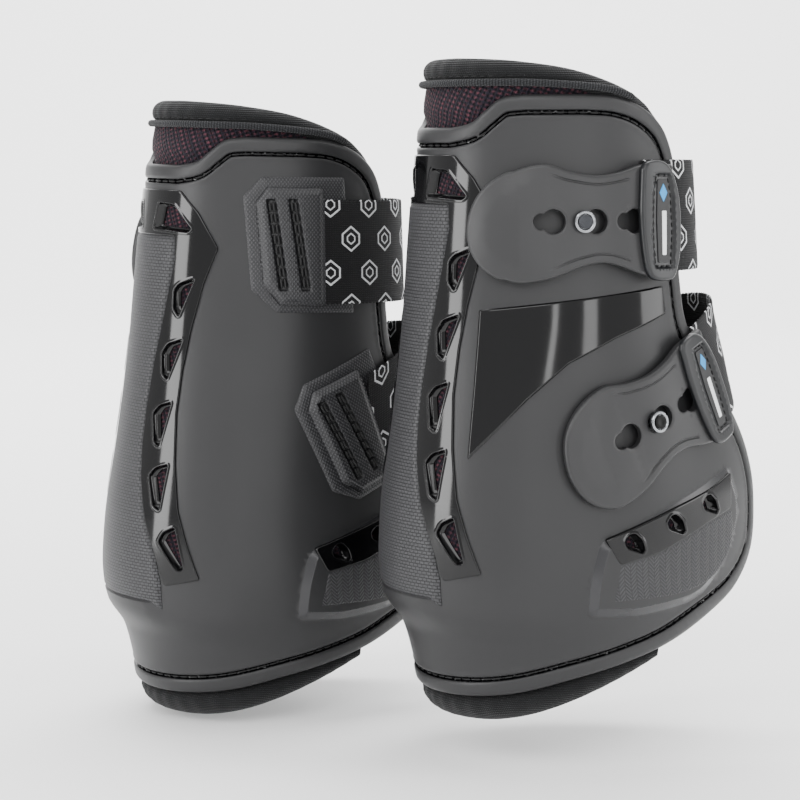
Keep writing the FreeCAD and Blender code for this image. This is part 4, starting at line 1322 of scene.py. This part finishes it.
def anchor(strap):
    """Knurled base and raised plate that hold the elastic, sewn through two slots."""
    place = strap.medial(1.0)
    base_edge = Loops(rounded(ANCHOR_BASE, 1.0, 0.8))
    base_patch = Patch(base_edge, 2.4, rings=[0.3, 0.9, 1.6])
    form = Form()
    slab(form, base_patch, lambda at: ramp(np.maximum(base_edge.distance(at), 0),
                                           (0, 0.25), (0.3, 0.6), (1.6, 1.2)), 0.02, place)
    plate_edge = Loops(rounded(ANCHOR_PLATE, 1.0, 0.8))
    lines = [((-10.9, 22.0), (-6.0, -14.0)), ((-2.3, 22.2), (3.0, -14.0))]
    half_slot = 1.9
    sewn = [Loops(rounded([(p0 - half_slot, q0), (p0 + half_slot, q0), (p1 + half_slot, q1),
                           (p1 - half_slot, q1)], 0.8, 0.6))
            for (p0, q0), (p1, q1) in lines]
    extra = [plate_edge.inset(gap, 0.4) for gap in (0.15, 0.5, 1.8, 2.4, 2.9)]
    extra += [hole.points + hole.normals * gap for hole in sewn for gap in (-0.4, 0.02, 0.3)]
    extra += [straight([(-11.4, -19.4), (11, -19.4)]), straight([(-10.6, 22.4), (11, 22.4)]),
              straight([(-10.8, -17), (-10.8, 22)])]
    patch = Patch(plate_edge, 2.0, extra=extra)

    def over(at):
        """Whether the elastic lies under the plate there."""
        return (at[:, 0] > -10.9) & (np.abs(at[:, 1] - 1.5) < 20.9)

    def top(at):
        made = ramp(np.maximum(plate_edge.distance(at), 0), (0, 1.9), (0.15, 2.2), (2.4, 3.9), (2.9, 4.0))
        for hole in sewn:
            made = made - ramp(hole.distance(at), (-0.4, 0.0), (0.02, 0.25), (0.3, 1.0))
        return np.maximum(made, np.where(over(at), 3.0, 1.6))
    middle = patch.at[patch.faces].mean(1)
    in_slot = np.max([hole.distance(middle) for hole in sewn], axis=0) > 0.05
    slab(form, patch, top, np.where(over(patch.at), 2.85, 1.15), place, in_slot.astype(int).tolist())
    # the medial side mirrors the skin, so its faces are turned to point outward
    form.faces = [face[::-1] for face in form.faces]
    form.normals = {number: given[::-1] for number, given in form.normals.items()}
    both_boots("anchor_%s" % strap.name, form, [KNURL, INSERT],
               nodes=["strap_anchor_" + strap.name])

    threads = Form()
    for (p0, q0), (p1, q1) in lines:
        for side in (-0.7, 0.7):
            path = even([(p0 + side, q0 - 1), (p1 + side, q1 + 1)], 0.5)
            seam(threads, path, 3.55, 4.2, 3.7, 0.62, place, sink=0.2 * side)
    both_boots("anchor_thread_%s" % strap.name, threads, [THREAD])


def strap_ring(strap, u, height, offset):
    """Level ring over the leg's front: u 0 to 1 lateral side, 1 to 2 nose, 2 to 3 medial side."""
    side_centre, side_radius, _, _, _ = section(height)
    radius = side_radius + offset
    last = math.pi - np.arctan2(side_centre, strap.front)
    cap = radius - np.hypot(strap.front, side_centre)
    start_x = strap.ends
    first_l = np.arccos(np.clip(-start_x[0] / radius, -1, 1))
    first_m = np.arccos(np.clip(-start_x[1] / radius, -1, 1))
    tip = np.arctan2(side_centre - radius * np.sin(last), -radius * np.cos(last) - strap.front)
    lateral = first_l + (last - first_l) * np.clip(u, 0, 1)
    medial = last + (first_m - last) * np.clip(u - 2, 0, 1)
    nose = tip * (1 - 2 * np.clip(u - 1, 0, 1))
    x = np.where(u < 1, -radius * np.cos(lateral),
                 np.where(u > 2, -radius * np.cos(medial), strap.front + cap * np.cos(nose)))
    y = np.where(u < 1, side_centre - radius * np.sin(lateral),
                 np.where(u > 2, radius * np.sin(medial) - side_centre, cap * np.sin(nose)))
    return x, y


def elastic(strap):
    """Woven elastic round the front of the leg, from under the tab's plate into the anchor."""
    starts = [strap.side_view(np.array([[p, 0.0]])) for p in (27.0, 6.5)]
    strap.ends = [float(start[0][0]) for start in starts]
    edge_x, edge_z = strap.ends[0], float(starts[0][1][0])
    half = STRAP_WIDTH / 2
    rows = np.linspace(-half, half, 42)
    shift = 1.5  # the elastic lies this much above the strap's middle line
    u = np.concatenate([np.linspace(0, 1, 50, endpoint=False), np.linspace(1, 2, 120, endpoint=False),
                        np.linspace(2, 3, 150)])
    u, q = np.meshgrid(u, rows + shift, indexing="ij")
    edge = np.abs(q - shift) / half
    sheets = []
    for offset in (2.02, 0.98):
        height = edge_z + q / math.cos(strap.tilt)
        for _ in range(4):
            x, y = strap_ring(strap, u, height, offset)
            height = edge_z + (x - edge_x) * math.tan(strap.tilt) + q / math.cos(strap.tilt)
        x, y = strap_ring(strap, u, height, offset)
        sheets.append(np.stack([x, y + 0.55, height], -1))
    mean = (sheets[0] + sheets[1]) / 2
    half_thickness = (sheets[0] - sheets[1]) / 2
    thin = np.where(edge > 0.97, 0.55, 1.0)[..., None]
    run = np.concatenate([[0], np.cumsum(np.linalg.norm(np.diff(mean[:, 21], axis=0), axis=1))])
    tooth = 0.22 * np.sign(q - shift) * (edge > 0.999) * np.sin(run[:, None] * 2 * math.pi / 2.2)
    mean = mean + strap.axis * tooth[..., None]
    top, bottom = mean + half_thickness * thin, mean - half_thickness * thin
    count, width = u.shape
    vertices = np.vstack([top.reshape(-1, 3), bottom.reshape(-1, 3)])
    pattern = np.stack([np.repeat(run, width), q.ravel()], 1)
    faces = []
    far = count * width
    for i in range(count - 1):
        for j in range(width - 1):
            a, b, c, d = i * width + j, (i + 1) * width + j, (i + 1) * width + j + 1, i * width + j + 1
            faces += [(a, b, c, d), (d + far, c + far, b + far, a + far)]
        a, b = i * width, (i + 1) * width
        faces.append((a, a + far, b + far, b))
        a, b = i * width + width - 1, (i + 1) * width + width - 1
        faces.append((b, b + far, a + far, a))
    for j in range(width - 1):
        a, b = j, j + 1
        faces.append((a, b, b + far, a + far))
        a, b = (count - 1) * width + j, (count - 1) * width + j + 1
        faces.append((b, a, a + far, b + far))
    form = Form().add(vertices, faces, np.vstack([pattern, pattern]))
    for side in ("right", "left"):
        piece = form.build("%s_elastic_band_%s" % (side, strap.name), [ELASTIC], side == "left", 50.0)
        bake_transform(piece)
        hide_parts("%s_elastic_%s" % (side, strap.name))


for strap in straps:
    strap_tab(strap)
    tab_plate(strap)
    stud(strap)
    anchor(strap)
    elastic(strap)


# ---------------------------------------------------------------- floor, light and camera
def area_light(name, place, target, width, height, power):
    """White softbox, in metres and watts, that faces its target."""
    lamp = bpy.data.lights.new(name, "AREA")
    lamp.shape, lamp.size, lamp.size_y, lamp.energy = "RECTANGLE", width, height, power
    item = bpy.data.objects.new(name, lamp)
    item.location = place
    item.rotation_euler = (Vector(target) - Vector(place)).to_track_quat("-Z", "Y").to_euler()
    bpy.context.scene.collection.objects.link(item)


VIEW_ANGLE = math.radians(LEAN_VIEW)  # the camera looks this much to the right of straight ahead
CAMERA_DISTANCE, CAMERA_HEIGHT = 0.87, 0.207


def sweep_floor(level):
    """Pale floor that sweeps up into a backdrop, in metres, square to the camera."""
    near, far, bend, rise_to = -3.0, 2.2, 0.8, 4.0
    profile = [(near, 0.0), (far, 0.0)]
    profile += [(far + bend * math.sin(angle), bend - bend * math.cos(angle))
                for angle in np.linspace(0.1, math.pi / 2, 14)]
    profile.append((far + bend, rise_to))
    ahead = Vector((math.sin(VIEW_ANGLE), math.cos(VIEW_ANGLE), 0))
    across = Vector((math.cos(VIEW_ANGLE), -math.sin(VIEW_ANGLE), 0))
    vertices, faces = [], []
    for side in (-4.0, 4.0):
        for reach, rise in profile:
            vertices.append(tuple(ahead * reach + across * side + Vector((0, 0, level + rise))))
    count = len(profile)
    for i in range(count - 1):
        faces.append((i, i + count, i + count + 1, i + 1))
    mesh = bpy.data.meshes.new("floor")
    mesh.from_pydata(vertices, [], faces)
    mesh.polygons.foreach_set("use_smooth", [True] * len(faces))
    pale = Surface("pale_floor", "#f4f4f4", 0.8)
    mesh.materials.append(pale.material)
    floor = bpy.data.objects.new("floor", mesh)
    bpy.context.scene.collection.objects.link(floor)


floor_gap = 0.004
sweep_floor(min(corner[2] for corner in cad_box) - floor_gap)
centre = Vector((-0.03, 0.05, 0.1))
area_light("key", (-0.9, -1.5, 1.3), centre, 1.4, 1.0, 22)
area_light("left_strip", (-1.35, -0.1, 0.3), centre, 0.35, 1.6, 22)
area_light("right_fill", (1.3, -0.8, 0.6), centre, 0.5, 1.4, 12)
area_light("band_wide", (0.5, -1.75, 0.15), centre, 0.26, 1.7, 10)
area_light("band_narrow", (-0.16, -1.8, 0.2), centre, 0.1, 1.7, 5)
area_light("backdrop", (0.2, 1.2, 2.2), (1.0, 2.6, 0.6), 2.5, 1.5, 160)
area_light("top", (0.0, 0.2, 1.6), centre, 1.2, 1.2, 14)

world = bpy.data.worlds.new("studio")
world.use_nodes = True
world.node_tree.nodes["Background"].inputs["Color"].default_value = srgb("#ffffff")
world.node_tree.nodes["Background"].inputs["Strength"].default_value = 1.15
bpy.context.scene.world = world

lens = bpy.data.cameras.new("camera")
lens.lens, lens.sensor_width = 101.7, 36.0
camera = bpy.data.objects.new("camera", lens)
camera.location = (-math.sin(VIEW_ANGLE) * CAMERA_DISTANCE, -math.cos(VIEW_ANGLE) * CAMERA_DISTANCE,
                   CAMERA_HEIGHT)
off_axis, pitch = math.radians(3.873), math.radians(-6.3)
heading = math.atan2(-camera.location.y, -camera.location.x) + off_axis
aim = Vector((math.cos(heading) * math.cos(pitch), math.sin(heading) * math.cos(pitch), math.sin(pitch)))
camera.rotation_euler = aim.to_track_quat("-Z", "Y").to_euler()
bpy.context.scene.collection.objects.link(camera)
bpy.context.scene.camera = camera
